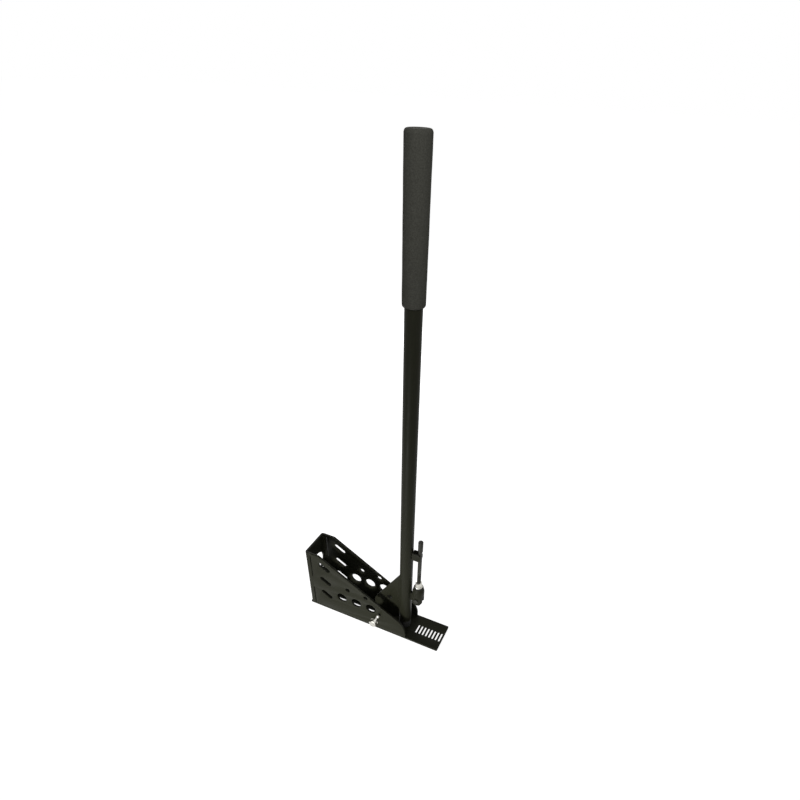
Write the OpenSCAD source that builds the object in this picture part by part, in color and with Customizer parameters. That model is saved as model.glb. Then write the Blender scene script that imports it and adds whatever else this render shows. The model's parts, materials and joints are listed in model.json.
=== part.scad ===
// Floor-mounted hand brake lever: a laser-cut base, a long tube lever with a foam grip on a
// low pivot, and a swing-down lock strut on the front of the tube.
// X runs from the rear plate towards the foot, Y across the base, Z up.
// The origin is on the underside of the base plate, midway between the two floor slots.

/* [Base plate] */
// Length of the base plate, rear face to the tip of the foot
base_len = 264; // [250:1:300]
// Width of the base across the side plates
base_w = 58; // [54:1:80]
// Thickness of the base plate
base_t = 4; // [3:0.5:6]
// Distance of the rear face behind the origin
rear_reach = 102; // [100:1:110]
// Corner radius at the tip of the foot
foot_corner_r = 1.5; // [1:0.5:10]
// End-to-end length of each floor slot
floor_slot_l = 60; // [30:1:64]
// Width of each floor slot
floor_slot_w = 6.5; // [5:0.5:9]
// Distance between the centres of the two floor slots
floor_slot_pitch = 70; // [68:1:78]

/* [Foot rack] */
// Number of cross slots in the foot
rack_count = 8; // [3:1:8]
// Distance between neighbouring cross slots
rack_pitch = 6.5; // [5.5:0.1:6.8]
// Length of a cross slot
rack_slot_l = 20; // [12:1:30]
// Width of a cross slot
rack_slot_w = 3.2; // [3:0.1:4]
// Distance from the tip of the foot to the middle of the last cross slot
rack_margin = 5; // [4:0.1:8]

/* [Side plates] */
// Thickness of a side plate
side_t = 4; // [3:0.5:5]
// Distance from the rear face to the nose of the side plates
side_len = 200.5; // [195:0.5:206]
// Height of the side plates above the floor
side_h = 135; // [130:1:150]
// Distance from the rear face to the start of the sloping edge
top_flat = 28; // [26:0.5:36]
// Fall of the sloping edge below level
slope_deg = 31; // [30:0.1:32.5]
// Radius between the sloping edge and the nose
nose_r = 36; // [10:1:40]
// Radius of the other upper corners
side_corner_r = 3; // [1:0.5:6]
// Width of the slit left open between a side plate and the rear plate
slit_w = 2; // [0.5:0.1:2.5]
// Height of the lower end of the welded land in that slit
land_low = 48; // [40:1:55]
// Height of the upper end of the welded land
land_high = 77; // [65:1:90]
// Height of the welded land that closes the slit at its top
top_land = 5; // [3:0.5:10]

/* [Lightening holes] */
// Diameter of the large holes
big_hole_d = 20; // [12:0.5:22]
// Distance from the rear face to the first large hole
big_hole_first = 71; // [66:0.5:74]
// Distance between large holes
big_hole_pitch = 30; // [27:0.5:31]
// Height of the large holes
big_hole_z = 47.5; // [42:0.5:49]
// Diameter of the small holes
small_hole_d = 9; // [5:0.5:10]
// Distance from the rear face to the first small hole
small_hole_first = 84.5; // [82:0.5:88]
// Distance between the small holes
small_hole_pitch = 36.4; // [34:0.2:38]
// Depth of the second small hole below the sloping edge
small_hole_depth = 8.2; // [7:0.1:10]
// How much lower the second small hole is
small_hole_drop = 3; // [0:0.5:5]
// Distance from the rear face to the stacked vent slots
vent_x = 38.5; // [36:0.5:42]
// Depth of the top vent slot below the top edge
vent_depth = 24.5; // [23:0.5:29]
// Distance between vent slots
vent_pitch = 35; // [28:0.5:36]
// End-to-end length of a vent slot
vent_l = 25; // [14:0.5:28]
// Width of a vent slot
vent_w = 9.5; // [5:0.5:12]

/* [Rear plate] */
// Sheet thickness of the rear plate
rear_t = 4; // [3:0.5:4.5]
// Depth of its folded side flanges
flange_l = 10; // [8:0.5:12]
// Outer radius of the folds
bend_r = 5; // [4.8:0.1:6]
// Height of the master cylinder port
port_z = 81; // [78:0.5:88]
// Diameter of the master cylinder port
port_d = 44; // [30:0.5:45]
// Diameter of the two cylinder bolt holes
port_bolt_d = 8.5; // [6.5:0.1:9]
// Distance between the cylinder bolt holes
port_bolt_pitch = 60; // [58:0.5:64]
// Turn of the cylinder bolt holes from upright, the upper one towards the near side
port_bolt_turn = 35; // [0:1:38]

/* [Pivot] */
// Distance of the pivot axis in front of the origin
pivot_x = 36; // [34:0.5:38]
// Height of the pivot axis above the floor
pivot_z = 16.5; // [16:0.1:19]
// Thread diameter of the pivot bolt
bolt_d = 8; // [6:0.5:8.5]
// Width across flats of the bolt head and nut
bolt_af = 13; // [11:0.5:14]
// Height of the bolt head
bolt_head_h = 7; // [6.8:0.1:9]
// Height of the locking nut
nut_h = 8; // [6:0.1:9]
// Diameter of the washers
washer_d = 15; // [14.5:0.5:20]
// Thickness of the washers
washer_t = 1.6; // [1:0.1:2.5]
// Outer diameter of the sleeve that the lever turns on
sleeve_od = 12; // [11.5:0.1:12.5]
// Outer diameter of the bushes
bush_od = 16; // [15:0.1:16.4]
// Length of a bush inside the boss
bush_l = 16; // [8:0.5:20]
// Thickness of a bush flange
bush_flange_t = 1.5; // [1:0.1:2.5]
// Outer diameter of the pivot boss and the bush flanges
boss_od = 20.4; // [19.8:0.1:21]
// Distance of the grease nipple's ball from the pivot axis
nipple_l = 27; // [20:0.5:30]
// Lean of the grease nipple towards the foot
nipple_lean = 23; // [0:1:40]

/* [Lever] */
// Distance of the tube axis in front of the origin
lever_x = 85; // [83:0.5:86]
// Outer diameter of the lever tube
tube_od = 22.2; // [19:0.1:23]
// Wall of the lever tube
tube_wall = 2; // [1.5:0.1:3]
// Height of the top of the grip above the floor
lever_top = 757; // [500:1:800]
// Thickness of the blade between the tube and the pivot
blade_t = 6; // [4:0.5:8]
// Height where the blade's rear edge meets the tube
blade_top = 131; // [120:1:140]
// Height of the rounded heel of the blade above the pivot
heel_rise = 31.5; // [28:0.5:36]
// Distance of the heel's centre behind the pivot
heel_back = 2.7; // [0:0.1:6]
// Radius of the heel
heel_r = 9; // [6:0.5:11]
// Distance of the pushrod pin hole in front of the pivot
clevis_dx = 18.5; // [17:0.5:20]
// Height of the pushrod pin hole above the pivot
clevis_dz = 50; // [49:0.5:54]
// Diameter of the pushrod pin hole
clevis_d = 10.2; // [6:0.1:11]
// Height of the rubber rest buffer
buffer_h = 17; // [14:0.5:20]

/* [Grip] */
// Length of the foam grip
grip_len = 168; // [120:1:220]
// Diameter of the grip at its lower end
grip_od_low = 28.4; // [27:0.1:34]
// Diameter of the grip at its upper end
grip_od_top = 29.2; // [27:0.1:36]
// Thickness of the closed end of the grip
grip_end_t = 6; // [3:0.5:10]
// Rounding of the grip's ends
grip_round = 3; // [1:0.5:4]

/* [Lock strut] */
// Distance of the strut axis in front of the tube axis
strut_offset = 24; // [24:0.5:27]
// Height of the strut's cross pin
strut_pin_z = 88.5; // [84:0.5:92]
// Diameter of the cross pin
strut_pin_d = 6; // [5:0.1:6]
// Diameter of the barrel
barrel_d = 21; // [20:0.5:21.5]
// Height of the top of the barrel above the cross pin
barrel_rise = 28; // [27:0.5:32]
// Height of the tapered shoulder at the top of the barrel
shoulder_h = 8; // [4:0.5:10]
// Width over the two flats that the cross pin runs through
barrel_flat_w = 18; // [16:0.5:19]
// Thickness of the lug on the tube
lug_t = 6; // [4:0.5:7]
// Radius of the lug's eye
lug_r = 8; // [6:0.5:8.5]
// Diameter of the strut rod
rod_d = 6.8; // [5:0.1:7]
// Height of the tip of the strut above the cross pin
strut_len = 135.5; // [130:0.5:142]
// Diameter of the strut tip
tip_d = 8.4; // [8.2:0.1:9.5]
// Length of the strut tip
tip_l = 21; // [14:0.5:22]
// Solid end of the strut tip, above the rod
tip_end_t = 8; // [4:0.5:10]
// Rounding of the strut tip's end, which seats in a cross slot of the rack
tip_round = 1; // [0.5:0.1:3]
// Height of the lower edge of the stowing clip above the cross pin
clip_rise = 93.5; // [88:0.5:94]
// Height of the stowing clip
clip_h = 15; // [12:0.5:18]
// Reach of the clip's ears past the middle of the rod
clip_reach = 2.5; // [1:0.1:5]
// Sheet thickness of the stowing clip
clip_t = 1.5; // [1:0.1:2]

/* [Hidden] */
$fn = 72;

// Clearances: a turning fit, a loose assembly fit and an open gap between moving pieces
run_gap = 0.05;
fit_gap = 0.1;
move_gap = 0.4;
// Overlap used to cut cleanly through a face
cut = 1;

black = [0.19, 0.20, 0.17];
foam_black = [0.21, 0.21, 0.19];
rubber_black = [0.08, 0.08, 0.08];
zinc = [0.80, 0.80, 0.77];
bronze = [0.70, 0.52, 0.28];

rear_x = -rear_reach;
foot_x = rear_x + base_len;
half_w = base_w / 2;
inner_half = half_w - side_t;
nose_x = rear_x + side_len;
side_rear_x = rear_x + flange_l + slit_w;
slope_x = rear_x + top_flat;
small_hole_low_x = rear_x + small_hole_first + small_hole_pitch;
small_hole_low_z = side_h - (small_hole_low_x - slope_x) * tan(slope_deg) - small_hole_depth;
vent_top_z = side_h - vent_depth;

sleeve_r = sleeve_od / 2;
bush_bore_r = sleeve_r + run_gap;
boss_r = boss_od / 2;
boss_half = inner_half - bush_flange_t - move_gap;
near_face = -half_w - washer_t;
far_face = half_w + washer_t;
head_y = near_face - bolt_head_h;
thread_proud = 2;
nipple_seat = bolt_af / 2;
nipple_stem_r = 2.5;
nipple_thread_l = 2.4;

tube_r = tube_od / 2;
tube_bore_r = tube_r - tube_wall;
tube_bottom = base_t + buffer_h + move_gap;
plug_flange_t = 2;
plug_depth = 14;
grip_bottom = lever_top - grip_len;
tube_top = lever_top - grip_end_t - plug_flange_t - fit_gap;
blade_r = boss_r + fit_gap + 0.6;
blade_edge_r = 3;
blade_front = lever_x - tube_bore_r + 4;

strut_x = lever_x + strut_offset;
tube_face = lever_x + tube_r + run_gap;
barrel_r = barrel_d / 2;
barrel_end_r = barrel_r;
fork_slot_w = lug_t + 2 * move_gap;
fork_top = strut_pin_z + lug_r + 3 * move_gap;
barrel_top = strut_pin_z + barrel_rise;
rod_r = rod_d / 2;
rod_seat = barrel_top - 14;
strut_washer_t = 1.6;
strut_washer_d = 17;
strut_nut_af = 10.5;
strut_nut_h = 10.4;
nut_flange_d = 14.2;
nut_flange_t = 2.4;
strut_top = strut_pin_z + strut_len;
tip_low = strut_top - tip_l;
tip_bore_l = tip_l - tip_end_t;
clip_low = strut_pin_z + clip_rise;
clip_gap = rod_d + 2 * move_gap;
clip_front = strut_x + clip_reach;
rivet_d = 4;
pin_head_t = 1.5;
pin_head_d = 9;
pin_clip_d = 10;
pin_clip_t = 1;
fork_half = barrel_flat_w / 2;

// Points where the right-hand tangent from circle a to circle b touches the two, each [x, y, r]
function tangent(a, b) =
    let (
        step = [b[0] - a[0], b[1] - a[1]],
        reach = norm(step),
        along = step / reach,
        right = [along[1], -along[0]],
        k = (a[2] - b[2]) / reach,
        normal = along * k + right * sqrt(1 - k * k)
    ) [[a[0], a[1]] + a[2] * normal, [b[0], b[1]] + b[2] * normal];

// Convex outline round corner circles given counter-clockwise
module rounded_outline(corners) {
    last = len(corners) - 1;
    polygon([for (i = [0:last]) each tangent(corners[i], corners[i == last ? 0 : i + 1])]);
    for (corner = corners) translate([corner[0], corner[1]]) circle(r = corner[2]);
}

// Slot with round ends, along x, centred
module obround(length, width) {
    straight = length - width;
    square([straight, width], center = true);
    for (side = [-1, 1]) translate([side * straight / 2, 0]) circle(d = width);
}

// Flat plate drawn in x and z, with its near face at y0
module upright(y0, thickness) {
    translate([0, y0 + thickness, 0]) rotate([90, 0, 0]) linear_extrude(thickness) children();
}

// Round bar across the base from y0 to y1
module cross_bar(x, z, y0, y1, r) {
    translate([x, y0, z]) rotate([-90, 0, 0]) cylinder(r = r, h = y1 - y0);
}

// Tube across the base
module cross_tube(x, z, y0, y1, r_out, r_in) {
    difference() {
        cross_bar(x, z, y0, y1, r_out);
        cross_bar(x, z, y0 - cut, y1 + cut, r_in);
    }
}

module hex_bar(flats, h) {
    cylinder(d = flats / cos(30), h = h, $fn = 6);
}

module base_plate() {
    color(black) difference() {
        linear_extrude(base_t) difference() {
            rounded_outline([
                [rear_x + 1, 1 - half_w, 1],
                [foot_x - foot_corner_r, foot_corner_r - half_w, foot_corner_r],
                [foot_x - foot_corner_r, half_w - foot_corner_r, foot_corner_r],
                [rear_x + 1, half_w - 1, 1]
            ]);
            for (side = [-1, 1])
                translate([side * floor_slot_pitch / 2, 0]) obround(floor_slot_l, floor_slot_w);
            for (i = [0:rack_count - 1])
                translate([foot_x - rack_margin - i * rack_pitch, 0])
                    rotate(90) obround(rack_slot_l, rack_slot_w);
        }
        translate([lever_x, 0, -cut]) cylinder(d = floor_slot_w + 2 * fit_gap, h = base_t + 2 * cut);
    }
}

// Folded channel section of the rear plate, seen from above
module rear_section(inset) {
    r = bend_r - inset;
    front = rear_x + flange_l + (inset > 0 ? cut : 0);
    half = half_w - inset;
    back = rear_x + inset;
    translate([back + r, -half]) square([front - back - r, 2 * half]);
    translate([back, r - half]) square([front - back, 2 * (half - r)]);
    for (side = [-1, 1]) translate([back + r, side * (half - r)]) circle(r = r);
}

module rear_plate() {
    color(black) difference() {
        translate([0, 0, base_t]) linear_extrude(side_h - base_t) difference() {
            rear_section(0);
            rear_section(rear_t);
        }
        translate([rear_x - cut, 0, port_z]) rotate([0, 90, 0]) cylinder(d = port_d, h = rear_t + 2 * cut);
        for (side = [-1, 1])
            translate([rear_x - cut, 0, port_z]) rotate([port_bolt_turn, 0, 0])
                translate([0, 0, side * port_bolt_pitch / 2])
                    rotate([0, 90, 0]) cylinder(d = port_bolt_d, h = rear_t + 2 * cut);
    }
}

// Outline of a side plate with its nose and sloping edge
module side_outline() {
    drop = side_corner_r * tan(slope_deg / 2);
    nose_cx = nose_x - nose_r;
    nose_cz = side_h - (nose_r + (nose_cx - slope_x) * sin(slope_deg)) / cos(slope_deg);
    intersection() {
        rounded_outline([
            [side_rear_x + side_corner_r, 0, side_corner_r],
            [nose_x - side_corner_r, 0, side_corner_r],
            [nose_cx, nose_cz, nose_r],
            [slope_x - drop, side_h - side_corner_r, side_corner_r],
            [side_rear_x + side_corner_r, side_h - side_corner_r, side_corner_r]
        ]);
        translate([side_rear_x - cut, base_t]) square([side_len, side_h]);
    }
    translate([side_rear_x - slit_w, land_low]) square([slit_w + cut, land_high - land_low]);
    translate([side_rear_x - slit_w, side_h - top_land]) square([slit_w + side_corner_r, top_land]);
}

module side_plate(y0) {
    difference() {
        upright(y0, side_t) difference() {
            side_outline();
            for (i = [0:2])
                translate([rear_x + vent_x, vent_top_z - i * vent_pitch])
                    rotate(-slope_deg) obround(vent_l, vent_w);
        }
        for (i = [0:2])
            cross_bar(rear_x + big_hole_first + i * big_hole_pitch, big_hole_z,
                y0 - cut, y0 + side_t + cut, big_hole_d / 2);
        for (i = [0:1])
            cross_bar(small_hole_low_x - i * small_hole_pitch, small_hole_low_z + i * small_hole_drop,
                y0 - cut, y0 + side_t + cut, small_hole_d / 2);
        cross_bar(pivot_x, pivot_z, y0 - cut, y0 + side_t + cut, bolt_d / 2 + fit_gap);
    }
}

module near_side_plate() {
    color(black) side_plate(-half_w);
}

module far_side_plate() {
    color(black) side_plate(inner_half);
}

// Rubber stop under the lever tube, its stem pushed into the base plate
module rest_buffer() {
    stem_gap = 0.5;
    color(rubber_black) translate([lever_x, 0, 0]) {
        translate([0, 0, base_t]) cylinder(r = tube_r, h = buffer_h);
        translate([0, 0, stem_gap]) cylinder(d = floor_slot_w, h = base_t - stem_gap + cut);
    }
}

// Axis of the grease nipple, out of the middle of the bolt head and leaning towards the foot
module nipple_axis() {
    translate([pivot_x, head_y + bolt_head_h / 2, pivot_z]) rotate([0, nipple_lean, 0]) children();
}

module pivot_bolt() {
    color(zinc) {
        difference() {
            translate([pivot_x, head_y, pivot_z]) rotate([0, nipple_lean, 0]) rotate([-90, 0, 0])
                hex_bar(bolt_af, bolt_head_h);
            nipple_axis() translate([0, 0, nipple_seat - nipple_thread_l])
                cylinder(r = nipple_stem_r + fit_gap, h = nipple_thread_l + cut);
        }
        cross_bar(pivot_x, pivot_z, near_face - cut, far_face + nut_h + thread_proud, bolt_d / 2);
    }
}

// Grease nipple in a flat of the bolt head: stem, hexagon block, tapered neck and ball
module grease_nipple() {
    block_af = 6.6;
    block_h = 4;
    taper_h = 4;
    neck_r = 1.9;
    ball_r = 3.2;
    color(zinc) nipple_axis() {
        translate([0, 0, nipple_seat - nipple_thread_l + fit_gap])
            cylinder(r = nipple_stem_r, h = nipple_thread_l);
        translate([0, 0, nipple_seat]) hex_bar(block_af, block_h);
        translate([0, 0, nipple_seat + block_h]) cylinder(r1 = block_af / 2, r2 = neck_r, h = taper_h);
        translate([0, 0, nipple_seat]) cylinder(r = neck_r, h = nipple_l - nipple_seat);
        translate([0, 0, nipple_l]) sphere(r = ball_r);
    }
}

module near_washer() {
    color(zinc) cross_tube(pivot_x, pivot_z, near_face, -half_w, washer_d / 2, bolt_d / 2 + fit_gap);
}

module far_washer() {
    color(zinc) cross_tube(pivot_x, pivot_z, half_w, far_face, washer_d / 2, bolt_d / 2 + fit_gap);
}

// Locking nut: hexagon with a round collar
module pivot_nut() {
    collar_h = 2;
    color(zinc) difference() {
        translate([pivot_x, far_face, pivot_z]) rotate([-90, 0, 0]) {
            hex_bar(bolt_af, nut_h - collar_h);
            cylinder(d = bolt_af - 1.5, h = nut_h);
        }
        cross_bar(pivot_x, pivot_z, far_face - cut, far_face + nut_h + cut, bolt_d / 2 + run_gap);
    }
}

module pivot_sleeve() {
    color(zinc) cross_tube(pivot_x, pivot_z, -inner_half, inner_half, sleeve_r, bolt_d / 2 + fit_gap);
}

module pivot_boss() {
    color(black) cross_tube(pivot_x, pivot_z, -boss_half, boss_half, boss_r, bush_od / 2 + run_gap);
}

// Flanged bush, pushed into the boss from the side given as -1 or 1
module bush(side) {
    flange_in = side * boss_half;
    flange_out = side * (boss_half + bush_flange_t);
    inner_end = side * (boss_half - bush_l);
    color(bronze) difference() {
        union() {
            cross_bar(pivot_x, pivot_z, min(flange_in, flange_out), max(flange_in, flange_out), boss_r);
            cross_bar(pivot_x, pivot_z, min(inner_end, flange_out), max(inner_end, flange_out),
                bush_od / 2);
        }
        cross_bar(pivot_x, pivot_z, -half_w, half_w, bush_bore_r);
    }
}

module near_bush() {
    bush(-1);
}

module far_bush() {
    bush(1);
}

// Flat blade that joins the tube to the pivot boss, with the pushrod pin hole. Its lower edge is
// notched level with the end of the tube, over the rest buffer.
module lever_blade() {
    heel = [pivot_x - heel_back, pivot_z + heel_rise, heel_r];
    toe = [blade_front - blade_edge_r, tube_bottom + blade_edge_r, blade_edge_r];
    top = [blade_front - blade_edge_r, blade_top, blade_edge_r];
    color(black) difference() {
        upright(-blade_t / 2, blade_t) rounded_outline([[pivot_x, pivot_z, blade_r], toe, top, heel]);
        cross_bar(pivot_x, pivot_z, -blade_t, blade_t, boss_r + fit_gap);
        cross_bar(pivot_x + clevis_dx, pivot_z + clevis_dz, -blade_t, blade_t, clevis_d / 2);
        translate([lever_x, 0, -cut]) cylinder(r = tube_r + move_gap, h = tube_bottom + cut);
    }
}

module lever_tube() {
    slot_top = blade_top + blade_edge_r + move_gap;
    color(black) difference() {
        translate([lever_x, 0, tube_bottom]) cylinder(r = tube_r, h = tube_top - tube_bottom);
        translate([lever_x, 0, tube_bottom - cut])
            cylinder(r = tube_bore_r, h = tube_top - tube_bottom + 2 * cut);
        translate([lever_x - tube_r - cut, -blade_t / 2 - fit_gap, tube_bottom - cut])
            cube([tube_r + cut, blade_t + 2 * fit_gap, slot_top - tube_bottom + cut]);
        translate([lever_x, 0, clip_low + clip_h / 2]) rotate([0, 90, 0])
            cylinder(d = rivet_d + 2 * fit_gap, h = tube_od);
    }
}

// Quarter round as profile points at a radius round [r, z], from a start angle
function round_end(r, z, start, radius) =
    [for (turn = [0:15:90]) [r, z] + radius * [cos(start + turn), sin(start + turn)]];

module foam_grip() {
    bore_r = tube_r + fit_gap;
    low_r = grip_od_low / 2;
    top_r = grip_od_top / 2;
    color(foam_black) translate([lever_x, 0, 0]) rotate_extrude() polygon(concat(
        [[bore_r, grip_bottom]],
        round_end(low_r - grip_round, grip_bottom + grip_round, -90, grip_round),
        round_end(top_r - grip_round, lever_top - grip_round, 0, grip_round),
        [[0, lever_top], [0, lever_top - grip_end_t], [bore_r, lever_top - grip_end_t]]
    ));
}

// Plastic plug that closes the tube inside the grip
module tube_end_plug() {
    plug_wall = 1.5;
    plug_r = tube_bore_r - fit_gap;
    color(rubber_black) translate([lever_x, 0, 0]) difference() {
        union() {
            translate([0, 0, tube_top]) cylinder(r = tube_r, h = plug_flange_t);
            translate([0, 0, tube_top - plug_depth]) cylinder(r = plug_r, h = plug_depth + cut);
        }
        translate([0, 0, tube_top - plug_depth - cut])
            cylinder(r = plug_r - plug_wall, h = plug_depth + cut);
    }
}

// Eye plate welded to the front of the tube
module strut_lug() {
    root_half = lug_r + 1;
    color(black) difference() {
        upright(-lug_t / 2, lug_t) rounded_outline([
            [lever_x, strut_pin_z - root_half + 1, 1],
            [strut_x, strut_pin_z, lug_r],
            [lever_x, strut_pin_z + root_half - 1, 1]
        ]);
        translate([lever_x, 0, strut_pin_z - tube_od])
            cylinder(r = tube_r + run_gap, h = 2 * tube_od);
        cross_bar(strut_x, strut_pin_z, -lug_t, lug_t, strut_pin_d / 2 + run_gap / 2);
    }
}

// Channel clip, open to the front, that holds the strut upright
module stow_clip() {
    outer = clip_gap + 2 * clip_t;
    ear_r = 5;
    ear_x = clip_front - ear_r;
    color(black) difference() {
        upright(-outer / 2, outer) rounded_outline([
            [tube_face + 0.5, clip_low + 0.5, 0.5],
            [ear_x, clip_low + ear_r, ear_r],
            [ear_x, clip_low + clip_h - ear_r, ear_r],
            [tube_face + 0.5, clip_low + clip_h - 0.5, 0.5]
        ]);
        translate([tube_face + clip_t, -clip_gap / 2, clip_low - cut])
            cube([clip_front - tube_face, clip_gap, clip_h + 2 * cut]);
        translate([tube_face - cut, 0, clip_low + clip_h / 2]) rotate([0, 90, 0])
            cylinder(d = rivet_d + 2 * fit_gap, h = clip_t + 2 * cut);
    }
}

// Rivet through the clip and the tube wall
module clip_rivet() {
    head_d = clip_gap - 1;
    head_t = 1.2;
    tail = tube_wall + 1.5;
    color(zinc) translate([tube_face + clip_t, 0, clip_low + clip_h / 2]) rotate([0, 90, 0]) {
        cylinder(d1 = head_d, d2 = head_d - 2, h = head_t);
        translate([0, 0, -clip_t - tail]) cylinder(d = rivet_d, h = clip_t + tail + cut / 2);
    }
}

module strut_pin() {
    tail = 2.6;
    color(black) {
        cross_bar(strut_x, strut_pin_z, -fork_half - move_gap - pin_head_t, fork_half + move_gap + tail,
            strut_pin_d / 2);
        cross_bar(strut_x, strut_pin_z, -fork_half - move_gap - pin_head_t, -fork_half - move_gap,
            pin_head_d / 2);
    }
}

// Retaining ring on the far end of the cross pin
module strut_pin_clip() {
    ring_y = fork_half + move_gap;
    color(black) cross_tube(strut_x, strut_pin_z, ring_y, ring_y + pin_clip_t,
        pin_clip_d / 2, strut_pin_d / 2 + run_gap / 2);
}

// Barrel with a tapered shoulder and a forked, rounded lower end that straddles the lug
module strut_barrel() {
    reach = barrel_top - strut_pin_z + barrel_end_r;
    color(black) difference() {
        intersection() {
            translate([strut_x, 0, strut_pin_z - barrel_end_r]) {
                cylinder(r = barrel_r, h = reach - shoulder_h);
                translate([0, 0, reach - shoulder_h])
                    cylinder(r1 = barrel_r, r2 = strut_washer_d / 2, h = shoulder_h);
            }
            union() {
                translate([strut_x - barrel_d, -barrel_d, strut_pin_z])
                    cube([2 * barrel_d, 2 * barrel_d, 2 * reach]);
                cross_bar(strut_x, strut_pin_z, -barrel_d, barrel_d, barrel_end_r);
            }
        }
        translate([strut_x - barrel_d, -fork_slot_w / 2, strut_pin_z - 2 * barrel_d])
            cube([2 * barrel_d, fork_slot_w, fork_top - strut_pin_z + 2 * barrel_d]);
        for (side = [-1, 1])
            translate([strut_x - barrel_d, side * (fork_half + barrel_d / 2) - barrel_d / 2,
                    strut_pin_z - 2 * barrel_d])
                cube([2 * barrel_d, barrel_d, fork_top - strut_pin_z + 2 * barrel_d]);
        cross_bar(strut_x, strut_pin_z, -barrel_d, barrel_d, strut_pin_d / 2 + run_gap);
        translate([strut_x, 0, rod_seat]) cylinder(r = rod_r + run_gap, h = barrel_d);
    }
}

// Sealing ring between the barrel and the jam nut
module strut_washer() {
    color(rubber_black) translate([strut_x, 0, barrel_top]) difference() {
        cylinder(d = strut_washer_d, h = strut_washer_t);
        translate([0, 0, -cut]) cylinder(r = rod_r + run_gap, h = strut_washer_t + 2 * cut);
    }
}

// Flanged jam nut
module strut_nut() {
    seat = barrel_top + strut_washer_t;
    color(zinc) translate([strut_x, 0, seat]) difference() {
        union() {
            cylinder(d1 = nut_flange_d, d2 = nut_flange_d - 2, h = nut_flange_t);
            hex_bar(strut_nut_af, strut_nut_h);
        }
        translate([0, 0, -cut]) cylinder(r = rod_r + run_gap, h = strut_nut_h + 2 * cut);
    }
}

module strut_rod() {
    color(black) translate([strut_x, 0, rod_seat + fit_gap])
        cylinder(r = rod_r, h = tip_low + tip_bore_l - fit_gap - rod_seat - fit_gap);
}

// Sleeve on the end of the rod, with a rounded end that seats in a cross slot of the rack
module strut_tip() {
    tip_r = tip_d / 2;
    color(black) translate([strut_x, 0, tip_low]) difference() {
        rotate_extrude() polygon(concat(
            [[0, 0], [tip_r, 0]],
            round_end(tip_r - tip_round, tip_l - tip_round, 0, tip_round),
            [[0, tip_l]]
        ));
        translate([0, 0, -cut]) cylinder(r = rod_r + run_gap, h = tip_bore_l + cut);
    }
}

base_plate();
rear_plate();
near_side_plate();
far_side_plate();
rest_buffer();
pivot_bolt();
grease_nipple();
near_washer();
far_washer();
pivot_nut();
pivot_sleeve();
lever_tube();
lever_blade();
pivot_boss();
near_bush();
far_bush();
foam_grip();
tube_end_plug();
strut_lug();
stow_clip();
clip_rivet();
strut_pin();
strut_pin_clip();
strut_barrel();
strut_washer();
strut_nut();
strut_rod();
strut_tip();
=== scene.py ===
"""Looks of a floor-mounted hand brake lever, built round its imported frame.

Every new piece is a surface worked out as whole arrays: a plate with rounded edges, a profile turned
about an axis, a hexagon with chamfers or a bead carried along a path. Lengths are metres.
"""

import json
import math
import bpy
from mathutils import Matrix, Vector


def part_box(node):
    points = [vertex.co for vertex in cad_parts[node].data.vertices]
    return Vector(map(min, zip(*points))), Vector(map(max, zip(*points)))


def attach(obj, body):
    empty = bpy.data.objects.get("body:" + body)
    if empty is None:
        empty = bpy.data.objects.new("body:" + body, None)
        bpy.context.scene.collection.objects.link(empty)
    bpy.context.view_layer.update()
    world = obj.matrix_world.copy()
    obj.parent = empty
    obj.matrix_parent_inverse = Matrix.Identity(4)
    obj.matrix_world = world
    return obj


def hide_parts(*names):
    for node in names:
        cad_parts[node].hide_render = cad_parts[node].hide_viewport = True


bl_info = {
    "name": "Floor Hand Brake Lever",
    "version": (1, 0, 0),
    "blender": (4, 5, 0),
    "location": "View3D > Sidebar > Hand Brake",
    "description": "Dresses a floor-mounted hand brake lever and sets it in a plain studio",
    "category": "Object",
}

from typing import NamedTuple

import bpy
import numpy as np
from bpy.props import FloatProperty, FloatVectorProperty, IntProperty, PointerProperty
from bpy.types import Operator, Panel, PropertyGroup
from mathutils import Matrix, Vector
from mathutils.geometry import tessellate_polygon

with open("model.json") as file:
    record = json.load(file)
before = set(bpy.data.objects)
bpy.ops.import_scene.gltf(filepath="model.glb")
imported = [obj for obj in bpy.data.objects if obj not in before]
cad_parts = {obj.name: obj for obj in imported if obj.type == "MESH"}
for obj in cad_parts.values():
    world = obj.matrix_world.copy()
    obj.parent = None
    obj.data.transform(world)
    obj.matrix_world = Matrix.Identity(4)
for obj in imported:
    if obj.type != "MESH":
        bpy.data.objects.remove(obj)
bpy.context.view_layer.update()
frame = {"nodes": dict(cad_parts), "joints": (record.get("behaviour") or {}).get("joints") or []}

MM = 0.001
TAU = 2 * math.pi
# Largest distance between a true arc and its chords
FACET = 0.015 * MM
# Edges that turn by more than this stay sharp
SHARP = math.radians(35)
# Width of the camera's sensor in millimetres
SENSOR = 36.0
# Place and target of each lamp
LAMPS = {
    "key": ((0.0, -0.62, 0.08), (0.0, 0.0, 0.05)),
    "fill": ((0.45, -0.7, 1.2), (0.085, 0.0, 0.76)),
    "back": ((-0.9, 1.3, 0.7), (0.05, 0.0, 0.3)),
}


def box(node):
    """Lowest and highest corner of a frame node as arrays."""
    low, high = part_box(node)
    return np.array(low), np.array(high)


def joint_place(name):
    """Place of a joint's axis in the frame."""
    joint = next(j for j in frame["joints"] if j["name"] == name)
    return np.array(joint["pos_m"], float)


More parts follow.
